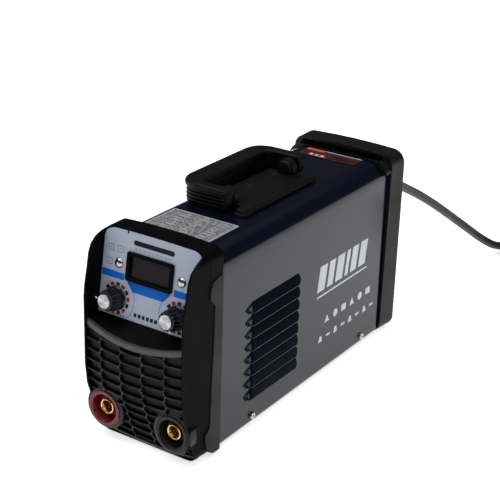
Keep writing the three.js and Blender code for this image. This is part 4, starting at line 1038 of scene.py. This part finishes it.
def make_tie():
    """The strap that holds the coil together."""
    low, high = box_mm("cord_tie")
    cx, cy, cz = ((a + b) / 2 for a, b in zip(low, high))
    half_y, half_z, thick = (high[1] - low[1]) / 2, (high[2] - low[2]) / 2, 1.2
    outer = rounded(cy - half_y, cy + half_y, cz - half_z, cz + half_z, 5.0, 6)
    inner = rounded(cy - half_y + thick, cy + half_y - thick, cz - half_z + thick, cz + half_z - thick, 4.0, 6)
    rings = [[(x, y, z) for y, z in line]
             for line, x in ((inner, cx - 3.4), (outer, cx - 3.6), (outer, cx + 3.6), (inner, cx + 3.4))]
    return make("lead_tie", *loft(rings + rings[:1], caps=False), "tie_strap", stands_for=("cord_tie",),
                slot="cord_end")


# ------------------------------------------------------------------ bezels
def cutter(verts, faces):
    return add_object("tool", welded("tool", verts, faces))


def flare(half):
    """A rule that draws the rear frame's front outline inwards, more towards the floor, so its sides flare to the rear."""
    top, foot, top_r, foot_r, front_y, reach = 204.6, 14, 15, 13, 169, 12.3

    def rule(x, y, z):
        upper = math.hypot(abs(x) - (half - top_r), z - top) - top_r
        lower = math.hypot(abs(x) - (half - foot_r), z - foot) - foot_r
        outer = abs(x) > half - 0.1 or (z > top and abs(upper) < 0.15) or (z < foot and abs(lower) < 0.15)
        if abs(y - front_y) > 0.3 or not outer:
            return x, y, z
        draw = (3.8 - 1.5 * (z - 14) / 190) * max(min((abs(x) - half + reach) / reach, 1.0), 0.0)
        return x - math.copysign(draw, x), y, z
    return rule


def make_bezels():
    """The front frame with its finger scoop, the band down each side of it and the flared rear frame."""
    scoop = []
    for k in range(33):
        t = k / 32
        x = -31.0 + 56.0 * t
        wide = 4.6 * math.sqrt(max(1 - (2 * t - 1) ** 2, 0.0)) + 0.05
        deep = 2.6 * math.sqrt(max(1 - (2 * t - 1) ** 4, 0.0)) + 0.05
        ring = [(x, -166.0 + wide * math.cos(a),
                 222.4 - (deep + 2.0) * math.sin(a) * (1 if math.sin(a) > 0 else -1.5))
                for a in around(24)]
        scoop.append(ring)
    refine("front_bezel", 1.1, 3, 30, carve=(cutter(*loft(scoop)),))
    band_line = [(-155.6, 193.0), (-162.5, 192.0), (-173.0, 188.6), (-176.0, 180.0), (-176.0, 172.0),
                 (-168.6, 164.5), (-169.2, 130.0),
                 (-171.0, 96.0), (-173.6, 36.0), (-181.0, 29.5), (-180.0, 20.0), (-175.5, 9.0), (-168.0, 4.0),
                 (-155.6, 3.0)]
    for tag, sign in (("left", -1), ("right", 1)):
        outline = path_xy(band_line, 2.5, 4)
        rings = [[(sign * x, y, z) for y, z in inset_path(outline, amount)]
                 for x, amount in ((61.2, 0.0), (62.5, 0.0), (62.9, 0.25), (63.1, 0.8))]
        make(f"bezel_band_{tag}", *loft(rings), "band_plastic", slot="bezel_plastic")
    refine("rear_bezel", 1.1, 3, 30, "frame_plastic", reshape=flare(box_mm("rear_bezel")[1][0]))


# ------------------------------------------------------------------ rear fittings
def make_gland():
    """The strain relief: a collar, then a sleeve whose rings thin out along the lead."""
    x0, z0, face = 37.0, 178.5, 174.8

    def axis(y):
        return z0 - 0.0046 * max(y - face, 0.0) ** 2

    profile = [(11.4, 174.9), (11.5, 176.0), (11.5, 178.2), (11.0, 179.0), (9.5, 179.3)]
    y = 180.0
    while y < 213.0:
        r = 9.3 - 2.1 * (y - 180.0) / 34.0
        profile += [(r, y), (r + 0.1, y + 0.5), (r + 0.05, y + 2.0), (r - 0.05, y + 2.5), (r - 1.1, y + 2.9),
                    (r - 1.15, y + 3.7)]
        y += 4.2
    profile += [(7.2, 214.4), (7.1, 216.6), (6.6, 218.0), (5.6, 218.4)]
    rings = []
    for r, y in profile:
        slope = -0.0092 * max(y - face, 0.0)
        rings.append([(x0 + r * math.cos(a), y - slope * (r * math.sin(a)) * 0.9, axis(y) + r * math.sin(a))
                      for a in around(40)])
    make("strain_relief", *loft(rings), "cord_end", stands_for=("cord_gland",))


PLUG_TURN = math.radians(-165)


def plug_grooves():
    """A groove down each side of the plug, behind its nose."""
    middle = (Vector(box_mm("mains_plug")[0]) + Vector(box_mm("mains_plug")[1])) / 2
    axis = Vector((math.cos(PLUG_TURN), math.sin(PLUG_TURN), 0))
    across = Vector((-axis.y, axis.x, 0))
    corners = [vert.co / MM - middle for vert in NODES["mains_plug"].data.vertices]
    sides = [pick(p.dot(across) for p in corners) for pick in (min, max)]
    tools = []
    for side in sides:
        nose = max(p.dot(axis) for p in corners if abs(p.dot(across) - side) < 1.0)
        at = middle + axis * (nose - 3.0) + across * side
        rings = []
        for z in (-40, 40):
            rings.append([at + axis * (0.75 * math.cos(a)) + across * (1.3 * math.sin(a)) + Vector((0, 0, z))
                          for a in around(12)])
        tools.append(cutter(*loft(rings)))
    return tools


def make_rear():
    """The fan's screws and the CAD solids that stay as they are but for rounded edges; returns the plug's pieces."""
    for width, nodes in (
        (0.15, ("heatsink_left", "heatsink_right")), (0.2, ("control_board",)), (0.25, ("power_board",)),
        (0.3, ("chassis_tray",)), (0.35, ("rear_panel", "fan_rotor", "control_panel")),
        (0.6, ("fan_frame", "switch_housing", "switch_rocker")),
        (0.9, ("foot_left_front", "foot_left_rear", "foot_right_front", "foot_right_rear", "transformer",
               "output_choke")),
    ):
        for node in nodes:
            refine(node, width)
    head = [(0.05, 174.0), (0.05, 177.0), (1.9, 176.8), (3.3, 176.1), (3.6, 175.4), (3.6, 174.0)]
    fan_z, hole_r = 70.0, 46.5
    screws = [turned(head, hole_r * math.cos(a), fan_z + hole_r * math.sin(a), 28)
              for a in [math.radians(turn) for turn in (45, 135, 225, 315)]]
    make("fan_screws", *merge(*screws), "screw_black")
    return [refine("mains_plug", 1.0, 3, 25, carve=plug_grooves()), refine("plug_pin_a", 0.7, 3),
            refine("plug_pin_b", 0.7, 3)]


# ------------------------------------------------------------------ mains cord
CORD_D = 10.5
COIL_AT = (147.0, 493.0)
TURN_OUT, TURN_IN = 62.5, 51.5
LAYER_1, LAYER_2 = 5.4, 16.2
START_ANGLE = 160.0


def smooth(t):
    t = min(max(t, 0.0), 1.0)
    return t * t * (3 - 2 * t)


def coil_point(phi):
    """A point of the coil phi degrees after the cord meets it, turning clockwise seen from above."""
    r = TURN_OUT + (TURN_IN - TURN_OUT) * smooth((phi - 260) / 100)
    r += (TURN_OUT - TURN_IN) * smooth((phi - 860) / 60)
    z = LAYER_1 + (LAYER_2 - LAYER_1) * smooth((phi - 556) / 64)
    angle = math.radians(START_ANGLE - phi)
    return (COIL_AT[0] + r * math.cos(angle), COIL_AT[1] + r * math.sin(angle), z)


def cord_points():
    points = [
        (37.0, 212.0, 171.8), (37, 221, 168.6), (36.7, 237, 161.0), (36.5, 254.5, 151.9), (37.2, 273, 142.0),
        (38, 292.5, 131.6), (39.8, 311.5, 120.4), (42, 330.5, 108.6), (44.6, 350, 95.8), (47.5, 369.5, 82.6),
        (50.6, 386.5, 70.7), (54, 403.5, 58.6), (57.9, 420, 46.6), (62, 436, 34.8), (66.8, 452.5, 23.6),
        (71.3, 467, 15.0), (76.4, 483, 9.0), (82.2, 499, 6.1),
    ]
    return points + [coil_point(15.0 * k) for k in range(79)]


def catmull(points):
    """Twelve points to a span along a centripetal curve through the given ones."""
    pts = [Vector(p) for p in points]
    pts = [2 * pts[0] - pts[1]] + pts + [2 * pts[-1] - pts[-2]]
    fine = []
    for i in range(1, len(pts) - 2):
        p0, p1, p2, p3 = pts[i - 1:i + 3]
        t0, t1 = 0.0, (p1 - p0).length ** 0.5
        t2 = t1 + (p2 - p1).length ** 0.5
        t3 = t2 + (p3 - p2).length ** 0.5
        for k in range(12):
            t = t1 + (t2 - t1) * k / 12
            a1 = p0 * ((t1 - t) / (t1 - t0)) + p1 * ((t - t0) / (t1 - t0))
            a2 = p1 * ((t2 - t) / (t2 - t1)) + p2 * ((t - t1) / (t2 - t1))
            a3 = p2 * ((t3 - t) / (t3 - t2)) + p3 * ((t - t2) / (t3 - t2))
            b1 = a1 * ((t2 - t) / (t2 - t0)) + a2 * ((t - t0) / (t2 - t0))
            b2 = a2 * ((t3 - t) / (t3 - t1)) + a3 * ((t - t1) / (t3 - t1))
            fine.append(b1 * ((t2 - t) / (t2 - t1)) + b2 * ((t - t1) / (t2 - t1)))
    fine.append(pts[-2])
    return fine


PLUG_ANGLE, PLUG_REACH, PLUG_Z = -1.309, 60.0, 35.1


def make_cord(ends):
    """The lead: from the gland down to the floor, round its coil and up into the plug."""
    foot = Vector((COIL_AT[0] + PLUG_REACH * math.cos(PLUG_ANGLE),
                   COIL_AT[1] + PLUG_REACH * math.sin(PLUG_ANGLE), PLUG_Z))
    along = Vector((math.sin(PLUG_ANGLE), -math.cos(PLUG_ANGLE), 0))
    points = [Vector(p) for p in cord_points()]
    for degrees, radius, z in ((45, 63.0, 17.6), (30, 64.3, 20.4), (15, 66.2, 24.0), (0, 68.2, 27.8),
                               (-15, 69.8, 31.2), (-30, 70.6, 33.8)):
        a = math.radians(degrees)
        points.append(Vector((COIL_AT[0] + radius * math.cos(a), COIL_AT[1] + radius * math.sin(a), z)))
    fine = catmull(points + [foot - along * 36, foot - along * 24])
    curve = bpy.data.curves.new("mains_cord", "CURVE")
    curve.dimensions = "3D"
    spline = curve.splines.new("POLY")
    keep = fine[::3] + ([fine[-1]] if (len(fine) - 1) % 3 else [])
    spline.points.add(len(keep) - 1)
    for target, p in zip(spline.points, keep):
        target.co = (p.x * MM, p.y * MM, p.z * MM, 1)
    curve.bevel_depth = CORD_D / 2 * MM
    curve.bevel_resolution = 5
    curve.use_fill_caps = True
    curve.materials.append(look("cord"))
    cord = add_object("mains_cord", curve)
    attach(cord, "case")
    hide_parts("mains_cord_run", "mains_cord_coil")


make_camera()
make_studio()
dress_frame()
make_cord([make_tie()] + make_rear())
make_cover()
make_side_marks()
make_bezels()
make_gland()
make_panel_print()
make_knobs()
make_panel_hardware()
make_grille()
make_sockets()
make_handle()
make_labels()
make_screws()
